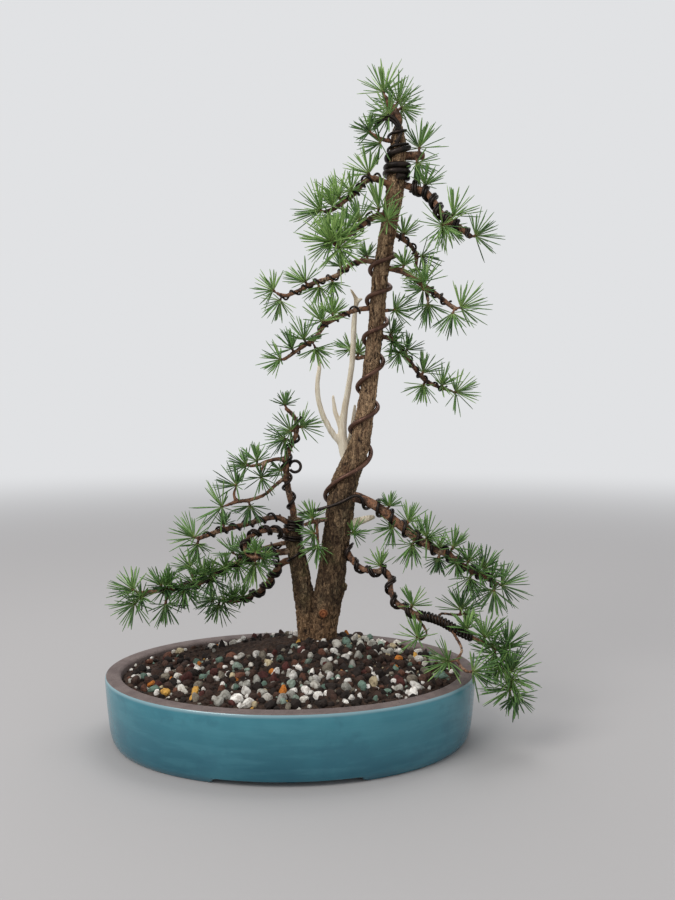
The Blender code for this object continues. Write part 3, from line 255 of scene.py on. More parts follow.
def makeStrandTree():
    # loose lines become closed tubes: a wire, or flat tapered needles
    tree, given, out = newTree("strands", "GeometryNodeTree", {"Geometry": "Geometry"},
                               Geometry="Geometry", Girth=0.001, Flatness=1.0, Sides=8, Material="Material")
    lines = addNode(tree, "GeometryNodeMeshToCurve", {"Mesh": given["Geometry"]})
    ring = addNode(tree, "GeometryNodeCurvePrimitiveCircle", {
        "Resolution": given["Sides"], "Radius": given["Girth"]})
    wide = addNode(tree, "ShaderNodeCombineXYZ", {"X": 1.0, "Y": given["Flatness"], "Z": 1.0})
    section = addNode(tree, "GeometryNodeTransform", {
        "Geometry": ring.outputs["Curve"], "Scale": wide.outputs["Vector"]})
    taper = addNode(tree, "GeometryNodeInputNamedAttribute", {"Name": "taper"}, data_type="FLOAT")
    swept = addNode(tree, "GeometryNodeCurveToMesh", {
        "Curve": lines.outputs["Curve"], "Profile Curve": section.outputs["Geometry"],
        "Scale": taper.outputs["Attribute"], "Fill Caps": True})
    return endTree(tree, given, out, swept.outputs["Mesh"])


def makeGravelTree():
    # stones scattered over a ground, each turned, sized and given a random kind
    tree, given, out = newTree("gravel", "GeometryNodeTree", {"Geometry": "Geometry"},
                               Geometry="Geometry", Stones="Collection", Spacing=0.005, Density=60000.0,
                               Smallest=0.002, Largest=0.004, Sinking=0.0, Seed=3, Material="Material")
    cover = addNode(tree, "GeometryNodeInputNamedAttribute", {"Name": "cover"}, data_type="FLOAT")
    points = addNode(tree, "GeometryNodeDistributePointsOnFaces", {
        "Mesh": given["Geometry"], "Distance Min": given["Spacing"], "Density Max": given["Density"],
        "Density Factor": cover.outputs["Attribute"], "Seed": given["Seed"]}, distribute_method="POISSON")
    drop = addNode(tree, "ShaderNodeCombineXYZ", {"Z": given["Sinking"]})
    lowered = addNode(tree, "GeometryNodeSetPosition", {
        "Geometry": points.outputs["Points"], "Offset": drop.outputs["Vector"]})
    stones = addNode(tree, "GeometryNodeCollectionInfo", {
        "Collection": given["Stones"], "Separate Children": True, "Reset Children": True})
    turn = addNode(tree, "FunctionNodeRandomValue", {"Max": (6.28, 6.28, 6.28), "Seed": 5},
                   data_type="FLOAT_VECTOR")
    rotation = addNode(tree, "FunctionNodeEulerToRotation", {"Euler": turn.outputs["Value"]})
    size = addNode(tree, "FunctionNodeRandomValue", {2: given["Smallest"], 3: given["Largest"], "Seed": 9},
                   data_type="FLOAT")
    placed = addNode(tree, "GeometryNodeInstanceOnPoints", {
        "Points": lowered.outputs["Geometry"], "Instance": stones.outputs["Instances"],
        "Pick Instance": True, "Rotation": rotation.outputs["Rotation"], "Scale": size.outputs[1]})
    shown = placed.outputs["Instances"]
    for label, seed in (("kind", 21), ("tone", 34)):
        chance = addNode(tree, "FunctionNodeRandomValue", {"Seed": seed}, data_type="FLOAT")
        kept = addNode(tree, "GeometryNodeStoreNamedAttribute", {
            "Geometry": shown, "Name": label, "Value": chance.outputs[1]}, data_type="FLOAT", domain="INSTANCE")
        shown = kept.outputs["Geometry"]
    return endTree(tree, given, out, shown)


def makeMottle():
    # two tones blended by soft noise, for bark, clay, wood and stone
    group, given, out = newTree("mottle", "ShaderNodeTree", {"Color": "Color", "Mask": "Float"},
                                Vector="Vector", Scale=100.0, Detail=4.0, Low=0.35, High=0.65,
                                First="Color", Second="Color")
    cloud = addNode(group, "ShaderNodeTexNoise", {
        "Vector": given["Vector"], "Scale": given["Scale"], "Detail": given["Detail"], "Roughness": 0.62})
    spread = addNode(group, "ShaderNodeMapRange", {
        "Value": cloud.outputs["Fac"], "From Min": given["Low"], "From Max": given["High"]},
        interpolation_type="SMOOTHSTEP")
    blend = addNode(group, "ShaderNodeMix", {
        0: spread.outputs["Result"], 6: given["First"], 7: given["Second"]}, data_type="RGBA")
    group.links.new(blend.outputs[2], out["Color"])
    group.links.new(spread.outputs["Result"], out["Mask"])
    return group


strandTree = makeStrandTree()
gravelTree = makeGravelTree()
mottle = makeMottle()
print("node trees ready")


class Paint:
    # a material and short ways to add to it
    def __init__(self, name, roughness=0.6, metallic=0.0, coat=0.0, coatRoughness=0.1, specular=0.5):
        self.material = bpy.data.materials.new(name)
        self.material.use_nodes = True
        self.tree = self.material.node_tree
        self.shader = self.tree.nodes["Principled BSDF"]
        for label, value in (("Roughness", roughness), ("Metallic", metallic), ("Coat Weight", coat),
                             ("Coat Roughness", coatRoughness), ("Specular IOR Level", specular)):
            self.shader.inputs[label].default_value = value
        self.object = addNode(self.tree, "ShaderNodeTexCoord").outputs["Object"]

    def add(self, kind, inputs=None, **settings):
        return addNode(self.tree, kind, inputs, **settings)

    def fill(self, socket, colour):
        # with a colour or with another node's socket
        if isinstance(colour, bpy.types.NodeSocket):
            self.tree.links.new(colour, socket)
        else:
            socket.default_value = (*colour, 1)

    def height(self):
        return self.add("ShaderNodeSeparateXYZ", {"Vector": self.object}).outputs["Z"]

    def stretched(self, scale):
        return self.add("ShaderNodeMapping", {"Vector": self.object, "Scale": scale}).outputs["Vector"]

    def attribute(self, name):
        return self.add("ShaderNodeAttribute", attribute_name=name).outputs["Fac"]

    def noise(self, scale, detail, vector=None):
        return self.add("ShaderNodeTexNoise", {
            "Vector": vector or self.object, "Scale": scale, "Detail": detail}).outputs["Fac"]

    def mottled(self, first, second, scale, low=0.35, high=0.65, detail=4.0, vector=None):
        made = self.add("ShaderNodeGroup", {
            "Vector": vector or self.object, "Scale": scale, "Detail": detail, "Low": low, "High": high},
            node_tree=mottle)
        self.fill(made.inputs["First"], first)
        self.fill(made.inputs["Second"], second)
        return made.outputs["Color"]

    def patches(self, scale, low, high, detail, vector=None):
        colour = self.mottled((0, 0, 0), (1, 1, 1), scale, low, high, detail, vector)
        return colour.node.outputs["Mask"]

    def between(self, share, first, second):
        mix = self.add("ShaderNodeMix", {0: share}, data_type="RGBA")
        self.fill(mix.inputs[6], first)
        self.fill(mix.inputs[7], second)
        return mix.outputs[2]

    def times(self, first, second):
        mix = self.add("ShaderNodeMix", {0: 1.0, 6: first, 7: second},
                       data_type="RGBA", blend_type="MULTIPLY")
        return mix.outputs[2]

    def ranged(self, value, low, high, start=0.0, end=1.0):
        return self.add("ShaderNodeMapRange", {
            "Value": value, "From Min": low, "From Max": high, "To Min": start, "To Max": end}).outputs["Result"]

    def maths(self, operation, first, second=0.0):
        return self.add("ShaderNodeMath", {0: first, 1: second}, operation=operation).outputs["Value"]

    def vectorMaths(self, operation, output, inputs):
        return self.add("ShaderNodeVectorMath", inputs, operation=operation).outputs[output]

    def set(self, name, socket):
        self.tree.links.new(socket, self.shader.inputs[name])

    def bump(self, height, strength, distance):
        made = self.add("ShaderNodeBump", {"Height": height, "Strength": strength, "Distance": distance})
        self.set("Normal", made.outputs["Normal"])


# Pot

potShape = {
    # millimetres, and steps round the pot and round each corner of its section
    "steps": 160,
    "filletSteps": 4,
    "footLevel": -3.0,
    "rimLevel": 51.5,
    "rimDepth": 11.0,
    "notchTop": 104.0,
    "notchBottom": 112.0,
    "notchHeight": 4.4,
    "notchReach": 200.0,
    "drainRadius": 8.5,
    "drainOffset": 66.0,
    "drainReach": (-5.0, 15.0),
    # the glaze: how far in from the widest part, how far under the rim, and not where it is flat
    "glazeDepth": 9.5,
    "glazeStop": 0.35,
    "glazeFlat": 0.93,
}
glazeLook = {
    "deep": ((0.012, 0.105, 0.150), (0.020, 0.135, 0.185)),
    "pale": ((0.032, 0.185, 0.240), (0.048, 0.230, 0.285)),
    "deepToPale": (0.012, 0.050),      # heights in metres
    "brushed": (0.085, 0.290, 0.345),
    "pooled": (0.014, 0.100, 0.150),
    # painted highlight along the rim's edge, partly the paler glaze where it runs thin there
    "thin": (0.17, 0.30, 0.34),
    "thinFrom": (0.0515, 0.0532),
    "clay": ((0.105, 0.075, 0.070), (0.155, 0.118, 0.108)),
    "speck": (0.06, 0.045, 0.042),
    "roughness": (0.78, 0.24),         # of the clay and of the glaze
    "coat": 0.3,
}
potLength = (potHigh.x - potLow.x) / mm
potWidth = (potHigh.y - potLow.y) / mm


def squeezed(reach):
    # the oval's width is drawn in by the same amount all round
    return 1 - (potLength - potWidth) / 2 / reach if reach > potLength / 3 else 1


def rounded(corners):
    # corners as (reach, height, rounding) become a line with filleted corners
    line = [Vector(corners[0][:2])]
    for before, here, after in zip(corners[:-2], corners[1:-1], corners[2:]):
        middle = Vector(here[:2])
        back, on = Vector(before[:2]) - middle, Vector(after[:2]) - middle
        cut = min(here[2], back.length * 0.45, on.length * 0.45)
        start, end = middle + back.normalized() * cut, middle + on.normalized() * cut
        for k in range(potShape["filletSteps"] + 1):
            t = k / potShape["filletSteps"]
            line.append(start * (1 - t) ** 2 + middle * 2 * t * (1 - t) + end * t * t)
    line.append(Vector(corners[-1][:2]))
    return line


def potCorners():
    # the section from the middle of the floor over the rim to the middle of the underside
    half = potLength / 2
    rim = half - potShape["rimDepth"]
    top, foot = potShape["rimLevel"], potShape["footLevel"]
    return ((0, 8, 0), (half - 27, 8, 4), (half - 20, 10.5, 5), (half - 15.5, 20, 3),
            (rim - 1.8, top - 1.4, 1.2), (rim, top, 1.0), (half - 0.9, top, 0.8), (half, top - 1.6, 1.2),
            (half - 1.4, 29, 6), (half - 3.2, 10, 6), (half - 5.2, 1.4, 3), (half - 8, foot, 1.0),
            (half - 19, foot, 1.0), (half - 21, 2, 1.2), (0, 2, 0))


def turnedPot():
    shape = bmesh.new()
    addLine(shape, [(p.x * mm, 0, p.y * mm) for p in rounded(potCorners())])
    turned = looseObject("pot turned", meshOf(shape, "pot"))
    addModifier(turned, "SCREW", steps=potShape["steps"], render_steps=potShape["steps"],
                use_merge_vertices=True, merge_threshold=2 * mergeDistance)
    mesh = settledMesh(turned)
    for corner in mesh.vertices:
        corner.co.y *= squeezed(math.hypot(corner.co.x, corner.co.y) / mm)
    shape = bmesh.new()
    shape.from_mesh(mesh)
    bmesh.ops.remove_doubles(shape, verts=shape.verts, dist=mergeDistance)
    bmesh.ops.recalc_face_normals(shape, faces=shape.faces)
    return meshOf(shape, "pot")


def notchTool():
    low, high = potShape["notchBottom"] / 2, potShape["notchTop"] / 2
    foot = potShape["footLevel"]
    top = foot + potShape["notchHeight"]
    right = [(low, foot), (high + 0.8, top - 0.6), (high - 1, top)]
    section = [(-low, foot - 2), (low, foot - 2)] + right + [(-x, z) for x, z in reversed(right)]
    shape = bmesh.new()
    reach = potShape["notchReach"] * mm
    face = shape.faces.new([shape.verts.new((x * mm, -reach, z * mm)) for x, z in section])
    pushed = bmesh.ops.extrude_face_region(shape, geom=[face])
    bmesh.ops.translate(shape, vec=(0, 2 * reach, 0),
                        verts=[part for part in pushed["geom"] if isinstance(part, bmesh.types.BMVert)])
    bmesh.ops.recalc_face_normals(shape, faces=shape.faces)
    return meshOf(shape, "notch")


def drainTool(side):
    low, high = potShape["drainReach"]
    radius = potShape["drainRadius"] * mm
    shape = bmesh.new()
    bmesh.ops.create_cone(shape, cap_ends=True, segments=40, radius1=radius, radius2=radius,
                          depth=(high - low) * mm)
    bmesh.ops.translate(shape, vec=(side * potShape["drainOffset"] * mm, 0, (low + high) / 2 * mm),
                        verts=shape.verts)
    return meshOf(shape, "drain")


def markGlaze(mesh):
    points, normals = drawnPoints(mesh), readPoints(mesh, "normal")
    across, back = np.abs(points[:, 0]), np.abs(points[:, 1])
    reach = np.hypot(across, back)
    for _ in range(30):
        # each round comes nearer to the reach that a point had before it was squeezed
        reach = np.hypot(across, back / np.maximum(1 - (potLength - potWidth) / 2 / np.maximum(reach, 60), 0.3))
    outer = reach > potLength / 2 - potShape["glazeDepth"]
    side = np.abs(normals[:, 2]) < potShape["glazeFlat"]
    under = points[:, 2] < potShape["rimLevel"] - potShape["glazeStop"]
    keepAttribute(mesh, "glazed", (outer & side & under).astype(float))


def makePotMaterial():
    look = glazeLook
    paint = Paint("stoneware", roughness=0.2, coat=0.35, coatRoughness=0.06)
    height = paint.height()
    wander = paint.noise(26.0, 3.0)
    shifted = paint.maths("ADD", height, paint.ranged(wander, 0, 1, -0.006, 0.006))
    glaze = paint.between(paint.ranged(shifted, *look["deepToPale"]),
                          paint.mottled(*look["deep"], 16, 0.3, 0.7, 3),
                          paint.mottled(*look["pale"], 22, 0.3, 0.7, 3))
    brushed = paint.patches(55, 0.42, 0.66, 5, paint.stretched((0.35, 0.35, 2.4)))
    glaze = paint.between(paint.ranged(brushed, 0, 1, 0.0, 0.22), glaze, look["brushed"])
    pooled = paint.patches(30, 0.52, 0.66, 4)
    glaze = paint.between(paint.ranged(pooled, 0, 1, 0.0, 0.35), glaze, look["pooled"])
    # a painted highlight line just under the rim, partly the glaze running thin over the edge
    edge = paint.maths("ADD", height, paint.ranged(wander, 0, 1, -0.0006, 0.0006))
    glaze = paint.between(paint.ranged(edge, *look["thinFrom"]), glaze, look["thin"])
    clay = paint.mottled(*look["clay"], 90, 0.3, 0.7, 6)
    clay = paint.mottled(clay, look["speck"], 700, 0.60, 0.68, 2)
    share = paint.ranged(paint.attribute("glazed"), 0.45, 0.55)
    paint.set("Base Color", paint.between(share, clay, glaze))
    paint.set("Roughness", paint.ranged(share, 0, 1, *look["roughness"]))
    paint.set("Coat Weight", paint.ranged(share, 0, 1, 0.0, look["coat"]))
    relief = paint.add("ShaderNodeMix", {0: share, 2: paint.noise(900.0, 3.0), 3: paint.noise(60.0, 2.0)},
                       data_type="FLOAT")
    paint.bump(relief.outputs[0], 0.22, 0.0006)
    return paint.material


def makePot():
    body = looseObject("pot body", turnedPot())
    tools = bpy.data.collections.new("pot tools")
    for mesh in (notchTool(), drainTool(-1), drainTool(1)):
        tools.objects.link(bpy.data.objects.new(mesh.name, mesh))
    addModifier(body, "BOOLEAN", operation="DIFFERENCE", operand_type="COLLECTION", collection=tools,
                solver="MANIFOLD")
    mesh = settledMesh(body)
    clearCollection(tools)
    mesh.transform(Matrix.Translation(spot(0, 0, 0)))
    markGlaze(mesh)
    finishPiece("potBody", mesh, makePotMaterial(), "glaze", "pot")


makePot()
print("pot ready")


# Drainage screens

screenShape = {"bevel": 0.2, "segments": 2}


def makeScreens():
    paint = Paint("black mesh", roughness=0.55)
    paint.set("Base Color", paint.mottled((0.012, 0.012, 0.012), (0.03, 0.03, 0.03), 300))
    for name in ("drainage_mesh_left", "drainage_mesh_right"):
        thing = looseObject(name, meshOf(readNode(name), name))
        addModifier(thing, "BEVEL", width=screenShape["bevel"] * mm, segments=screenShape["segments"],
                    limit_method="ANGLE")
        finishPiece(name.replace("drainage_mesh", "screen"), settledMesh(thing), paint.material, "mesh", name,
                    smooth=False)


makeScreens()
print("screens ready")


# Soil and stones

soilShape = {
    "voxel": 0.0019,
    "crumb": 0.9,
    "sunk": 1.6,
    "crumbled": (44, 4),              # from this level up, over this height
    "ground": 45.5,                   # stones lie on what is higher than this
    "peat": (-46, 40, 50, 22),        # a bare patch: its middle and half sizes
    "peatCover": 0.06,
    "stems": ((25, 48, 12.5), (12, 48, 9)),
    "stoneShapes": 12,
    "wornCorners": 9,
    "sharpCorners": 14,
    "worn": 0.14,
    "margin": 1.8,
    "density": 90000.0,
}
gravelSizes = (
    # name, spacing, smallest and largest half size, lift, seed, the first kind of stone used
    ("gravelCoarse", 10.0, 5.3, 7.8, 0.9, 4, 0.0),
    ("gravelMiddle", 6.6, 3.3, 5.3, 0.2, 11, -0.25),
    ("gravelFine", 4.0, 1.3, 2.5, -0.2, 23, -1.2),
)
# share of the stones up to which each colour goes, and the colour
stoneColours = (
    (0.00, (0.022, 0.015, 0.012)), (0.19, (0.045, 0.025, 0.018)), (0.34, (0.075, 0.038, 0.026)),
    (0.42, (0.075, 0.022, 0.018)), (0.48, (0.130, 0.055, 0.034)), (0.53, (0.76, 0.73, 0.68)),
    (0.66, (0.58, 0.55, 0.49)), (0.73, (0.36, 0.35, 0.31)), (0.80, (0.23, 0.20, 0.155)),
    (0.85, (0.14, 0.215, 0.170)), (0.90, (0.27, 0.34, 0.28)), (0.945, (0.46, 0.38, 0.24)),
    (0.97, (0.56, 0.19, 0.03)), (0.985, (0.60, 0.33, 0.07)),
)


def makeSoilMaterial():
    paint = Paint("growing mix", roughness=0.95, specular=0.2)
    base = paint.mottled((0.016, 0.010, 0.008), (0.060, 0.036, 0.025), 260, 0.3, 0.7, 8)
    paint.set("Base Color", paint.mottled(base, (0.13, 0.085, 0.055), 620, 0.62, 0.70, 3))
    paint.bump(paint.noise(700.0, 5.0), 0.9, 0.0012)
    return paint.material


def makeStoneMaterial(name, firstKind):
    # a first kind under nought makes more of the stones dark
    paint = Paint(name, roughness=0.88, specular=0.3)
    ramp = paint.add("ShaderNodeValToRGB", {"Fac": paint.ranged(paint.attribute("kind"), 0, 1, firstKind, 1)})
    ramp.color_ramp.interpolation = "CONSTANT"
    while len(ramp.color_ramp.elements) < len(stoneColours):
        ramp.color_ramp.elements.new(1.0)
    for element, (start, colour) in zip(ramp.color_ramp.elements, stoneColours):
        element.position = start
        element.color = (*colour, 1)
    tone = paint.ranged(paint.attribute("tone"), 0, 1, 0.70, 1.15)
    grey = paint.add("ShaderNodeCombineColor", {0: tone, 1: tone, 2: tone}).outputs["Color"]
    dusty = paint.mottled((0.55, 0.52, 0.50), (1.0, 1.0, 1.0), 380, 0.36, 0.56, 7)
    paint.set("Base Color", paint.times(paint.times(ramp.outputs["Color"], grey), dusty))
    paint.bump(paint.noise(1300.0, 4.0), 0.55, 0.0005)
    return paint.material


def makeStoneShapes(label, corners, worn):
    # a few stones to scatter, with their edges worn down by a share or left sharp
    shapes = bpy.data.collections.new(label)
    for k in range(soilShape["stoneShapes"]):
        shape = bmesh.new()
        length, width, thickness = (random.uniform(0.85, 1.2), random.uniform(0.70, 0.95),
                                    random.uniform(0.55, 0.85))
        for n in range(corners):
            high = 1 - 2 * (n + 0.5) / corners
            turn = goldenTurn * n + random.uniform(-0.6, 0.6)
            out = math.sqrt(1 - high * high) * random.uniform(0.80, 1.08)
            shape.verts.new((out * math.cos(turn) * length, out * math.sin(turn) * width,
                             high * thickness * random.uniform(0.80, 1.05)))
        hull = bmesh.ops.convex_hull(shape, input=shape.verts)
        spare = [part for part in hull["geom_interior"] if isinstance(part, bmesh.types.BMVert)]
        bmesh.ops.delete(shape, geom=spare, context="VERTS")
        if worn:
            bmesh.ops.bevel(shape, geom=shape.edges, offset=worn, segments=1, affect="EDGES",
                            clamp_overlap=True)
        bmesh.ops.recalc_face_normals(shape, faces=shape.faces)
        shapes.objects.link(bpy.data.objects.new("%s %d" % (label, k), meshOf(shape, label)))
    return shapes


def groundMesh(mesh, margin):
    # the soil's upper face alone, smoothed, as the ground that the stones lie on; none of
    # them comes nearer than the margin to the pot's wall and the stems
    shape = bmesh.new()
    shape.from_mesh(mesh)
    level = spot(0, 0, soilShape["ground"]).z
    under = [f for f in shape.faces if f.normal.z < 0.25 or f.calc_center_median().z < level]
    bmesh.ops.delete(shape, geom=under, context="FACES")
    for _ in range(6):
        bmesh.ops.smooth_vert(shape, verts=shape.verts, factor=0.5, use_axis_z=True)
    ground = meshOf(shape, "ground")
    across, back = drawnPoints(ground)[:, :2].T
    half = potLength / 2 - potShape["rimDepth"] - margin
    wide = potWidth / 2 - potShape["rimDepth"] - margin
    oval = (across / half) ** 2 + (back / wide) ** 2
    peatAcross, peatBack, peatHalf, peatWide = soilShape["peat"]
    peat = ((across - peatAcross) / peatHalf) ** 2 + ((back - peatBack) / peatWide) ** 2
    cover = np.where(oval > 1, 0, np.where(peat < 1, soilShape["peatCover"], 1.0))
    for stemAcross, stemBack, radius in soilShape["stems"]:
        cover = np.where(np.hypot(across - stemAcross, back - stemBack) < radius + margin * 0.6, 0, cover)
    keepAttribute(ground, "cover", cover)
    return ground


def scatterGravel(mesh):
    large = makeStoneShapes("large stone", soilShape["wornCorners"], soilShape["worn"])
    small = makeStoneShapes("small stone", soilShape["sharpCorners"], 0)
    for name, spacing, smallest, largest, lift, seed, firstKind in gravelSizes:
        finish = makeStoneMaterial(name + " stone", firstKind)
        carrier = looseObject(name, groundMesh(mesh, largest + soilShape["margin"]))
        stones = runTree(carrier, gravelTree, {
            "Stones": small if name == "gravelFine" else large, "Spacing": spacing * mm,
            "Density": soilShape["density"], "Smallest": smallest * mm, "Largest": largest * mm,
            "Sinking": lift * mm, "Seed": seed, "Material": finish})
        finishPiece(name, stones, finish, "granules", "soil", smooth=False)
    clearCollection(large)
    clearCollection(small)


def makeSoil():
    thing = looseObject("soil", meshOf(readNode("soil"), "soil"))
    addModifier(thing, "REMESH", mode="VOXEL", voxel_size=soilShape["voxel"])
    mesh = settledMesh(thing)
    points, normals = readPoints(mesh), readPoints(mesh, "normal")
    level, over = soilShape["crumbled"]
    upper = np.clip((drawnPoints(mesh)[:, 2] - level) / over, 0, 1) * np.clip(normals[:, 2] * 2, 0, 1)
    for k in np.nonzero(upper > 0.01)[0]:
        p = Vector(points[k]) / mm
        lump = noise.noise(p / 7) * 1.2 + noise.noise(p / 2.6) * 0.9 + abs(noise.noise(p / 1.5)) * 0.7
        points[k, 2] += (lump * soilShape["crumb"] - soilShape["sunk"]) * mm * upper[k]
    writePoints(mesh, points)
    finishPiece("soilBed", mesh, makeSoilMaterial(), "granules", "soil")
    scatterGravel(mesh)


makeSoil()
print("soil and gravel ready")


# Bark

barkLook = {
    "brown": ((0.050, 0.030, 0.017), (0.150, 0.096, 0.052)),
    "grey": (0.180, 0.145, 0.086),
    "moss": (0.095, 0.086, 0.036),
    "streaks": ((0.150, 0.072, 0.038), (0.600, 0.400, 0.235)),
    "rust": (0.240, 0.098, 0.046),
    "foot": ((0.13, 0.065, 0.032), (0.36, 0.215, 0.110)),
    "footToMoss": (0.085, 0.108),     # heights in metres
    "mossToStreaks": (0.190, 0.260),
    "flakes": ((210.0, 0.22, 0.6), (470.0, 0.32, 0.35)),    # scale, stretch, how far they stand out
    "paleFlake": (0.43, 0.28, 0.16),
    "darkFlake": (0.055, 0.026, 0.014),
    # painted shade in the gaps between the flakes
    "flakeGap": (0.020, 0.012, 0.007),
    # painted shade laid into the bark's fissures
    "fissure": (0.024, 0.014, 0.009),
    "scar": (26, 28, 88),
    "scarTones": ((0.18, 0.055, 0.022), (0.40, 0.15, 0.06)),
    "scarHeart": (0.08, 0.03, 0.015),
}
twigLook = {
    "brown": ((0.055, 0.030, 0.021), (0.240, 0.115, 0.062)),
    "pale": (0.38, 0.26, 0.175),
    # painted shade laid into the twigs' fissures
    "fissure": (0.030, 0.018, 0.013),
    "speck": (0.090, 0.060, 0.045),
}
trunkShape = {"voxel": 0.00073, "plateAcross": 2.9, "plateAlong": 7.5, "relief": 0.80, "swell": 0.32}


def barkDepth(p, form):
    # height of the bark in millimetres at a place, from its plates, long fissures and grit
    q = Vector((p.x / form["plateAcross"], p.y / form["plateAcross"], p.z / form["plateAlong"]))
    gaps = noise.voronoi(q + noise.noise_vector(q * 1.1) * 0.55)[0]
    plate = min(1.0, (gaps[1] - gaps[0]) / 0.34)
    fissure = max(0.0, 1 - abs(noise.noise(Vector((p.x / 2.1, p.y / 2.1, p.z / 12)))) / 0.22)
    lumps = 0.6 * noise.noise(q * 1.9) + 0.45 * noise.noise(p / 1.25) + 0.5 * noise.noise(p / 8)
    return form["relief"] * (0.85 * plate - 0.55 - 0.55 * fissure + lumps)


def coverWithBark(mesh, form):
    points, normals = readPoints(mesh), readPoints(mesh, "normal")
    depth = np.array([barkDepth(Vector(row) / mm, form) for row in points])
    writePoints(mesh, points + normals * ((depth + form["swell"]) * mm)[:, None])
    keepAttribute(mesh, "depth", depth / form["relief"])


def addFlakes(paint, tone):
    # flakes of two sizes over a tone, each lighter or darker, and how far they stand out
    look, relief = barkLook, None
    torn = paint.add("ShaderNodeTexNoise", {"Vector": paint.object, "Scale": 210.0, "Detail": 5.0})
    drift = paint.vectorMaths("SCALE", "Vector", {0: torn.outputs["Color"], "Scale": 0.009})
    for size, stretch, height in look["flakes"]:
        place = paint.vectorMaths("ADD", "Vector", {0: paint.stretched((1, 1, stretch)), 1: drift})
        cells = paint.add("ShaderNodeTexVoronoi", {"Vector": place, "Scale": size})
        gap = paint.add("ShaderNodeTexVoronoi", {"Vector": place, "Scale": size},
                        feature="DISTANCE_TO_EDGE").outputs["Distance"]
        chance = paint.add("ShaderNodeSeparateColor", {"Color": cells.outputs["Color"]}).outputs[0]
        tone = paint.between(paint.ranged(chance, 0.45, 1.0, 0.0, 0.36), tone, look["paleFlake"])
        tone = paint.between(paint.ranged(chance, 0.0, 0.4, 0.38, 0.0), tone, look["darkFlake"])
        # painted shade darkens the gaps between the flakes
        tone = paint.between(paint.ranged(gap, 0.0, 0.14, 0.55, 0.0), tone, look["flakeGap"])
        raised = paint.ranged(gap, 0.0, 0.22, 0.0, height)
        relief = paint.maths("ADD", relief, raised) if relief else raised
    return tone, relief


def addScar(paint, tone):
    # the ringed scar of a cut branch
    away = paint.vectorMaths("DISTANCE", "Value", {0: paint.object, 1: tuple(spot(*barkLook["scar"]))})
    rings = paint.maths("SINE", paint.maths("MULTIPLY", away, 3200.0))
    scar = paint.between(paint.ranged(rings, -1, 1), *barkLook["scarTones"])
    scar = paint.between(paint.ranged(away, 0.0006, 0.0016), barkLook["scarHeart"], scar)
    return paint.between(paint.ranged(away, 0.0036, 0.0050), scar, tone)


def makeBarkMaterial():
    look = barkLook
    paint = Paint("bark", roughness=0.9, specular=0.25)
    depth = paint.attribute("depth")
    long = paint.stretched((1, 1, 0.22))
    mossy = paint.mottled(*look["brown"], 260, 0.36, 0.64, 8, long)
    mossy = paint.mottled(mossy, look["grey"], 90, 0.48, 0.68, 6, long)
    mossy = paint.mottled(mossy, look["moss"], 34, 0.54, 0.70, 5)
    streaks = paint.mottled(*look["streaks"], 360, 0.38, 0.60, 8, paint.stretched((1, 1, 0.09)))
    streaks = paint.mottled(streaks, look["rust"], 38, 0.54, 0.68, 4, long)
    flaky = paint.mottled(*look["foot"], 240, 0.38, 0.62, 7)
    level = paint.maths("ADD", paint.height(), paint.ranged(paint.noise(45.0, 4.0), 0, 1, -0.03, 0.03))
    tone = paint.between(paint.ranged(level, *look["footToMoss"]), flaky, mossy)
    tone = paint.between(paint.ranged(level, *look["mossToStreaks"]), tone, streaks)
    tone, relief = addFlakes(paint, tone)
    # painted shade darkens the fissures, where the bark lies deepest
    tone = paint.between(paint.ranged(depth, -1.15, -0.35), look["fissure"], tone)
    tone = paint.between(paint.ranged(depth, 0.25, 0.80, 0.0, 0.40), tone, look["paleFlake"])
    paint.set("Base Color", addScar(paint, tone))
    paint.bump(paint.maths("ADD", paint.noise(520.0, 6.0, long), relief), 0.9, 0.0010)
    return paint.material


def makeTwigMaterial():
    look = twigLook
    paint = Paint("twig bark", roughness=0.82, specular=0.3)
    tone = paint.mottled(*look["brown"], 190, 0.36, 0.60, 6)
    tone = paint.mottled(tone, look["pale"], 85, 0.54, 0.68, 5)
    # painted shade darkens the fissures, where the twig bark lies deepest
    tone = paint.between(paint.ranged(paint.attribute("depth"), -0.95, -0.30), look["fissure"], tone)
    paint.set("Base Color", paint.mottled(tone, look["speck"], 310, 0.55, 0.68, 6))
    paint.bump(paint.noise(900.0, 4.0), 0.45, 0.0005)
    return paint.material


def makeTrunk():
    mesh = grownMesh(readNode("trunk"), "trunk", trunkShape["voxel"])
    coverWithBark(mesh, trunkShape)
    finishPiece("trunkBark", mesh, makeBarkMaterial(), "bark", "trunk")


makeTrunk()
print("trunk ready")


# Deadwood

deadwoodShape = {
    "voxel": 0.0006,
    "swell": 0.30,
    "grain": (0.22, 1.6, 14),     # height, width and length of its ridges
    "lumps": (0.25, 6),           # height and size
}
deadwoodLook = {
    "bleached": ((0.62, 0.52, 0.38), (0.80, 0.73, 0.60)),
    "weathered": (0.40, 0.29, 0.18),
}


def makeDeadwoodMaterial():
    paint = Paint("bleached wood", roughness=0.8, specular=0.3)
    long = paint.stretched((1, 1, 0.12))
    base = paint.mottled(*deadwoodLook["bleached"], 320, 0.3, 0.7, 5, long)
    paint.set("Base Color", paint.mottled(base, deadwoodLook["weathered"], 130, 0.56, 0.76, 6, long))
    paint.bump(paint.noise(900.0, 4.0, long), 0.4, 0.0004)
    return paint.material


def grainLift(p):
    height, width, length = deadwoodShape["grain"]
    lump, size = deadwoodShape["lumps"]
    ridges = noise.noise(Vector((p.x / width, p.y / width, p.z / length)))
    return deadwoodShape["swell"] + height * ridges + lump * noise.noise(p / size)


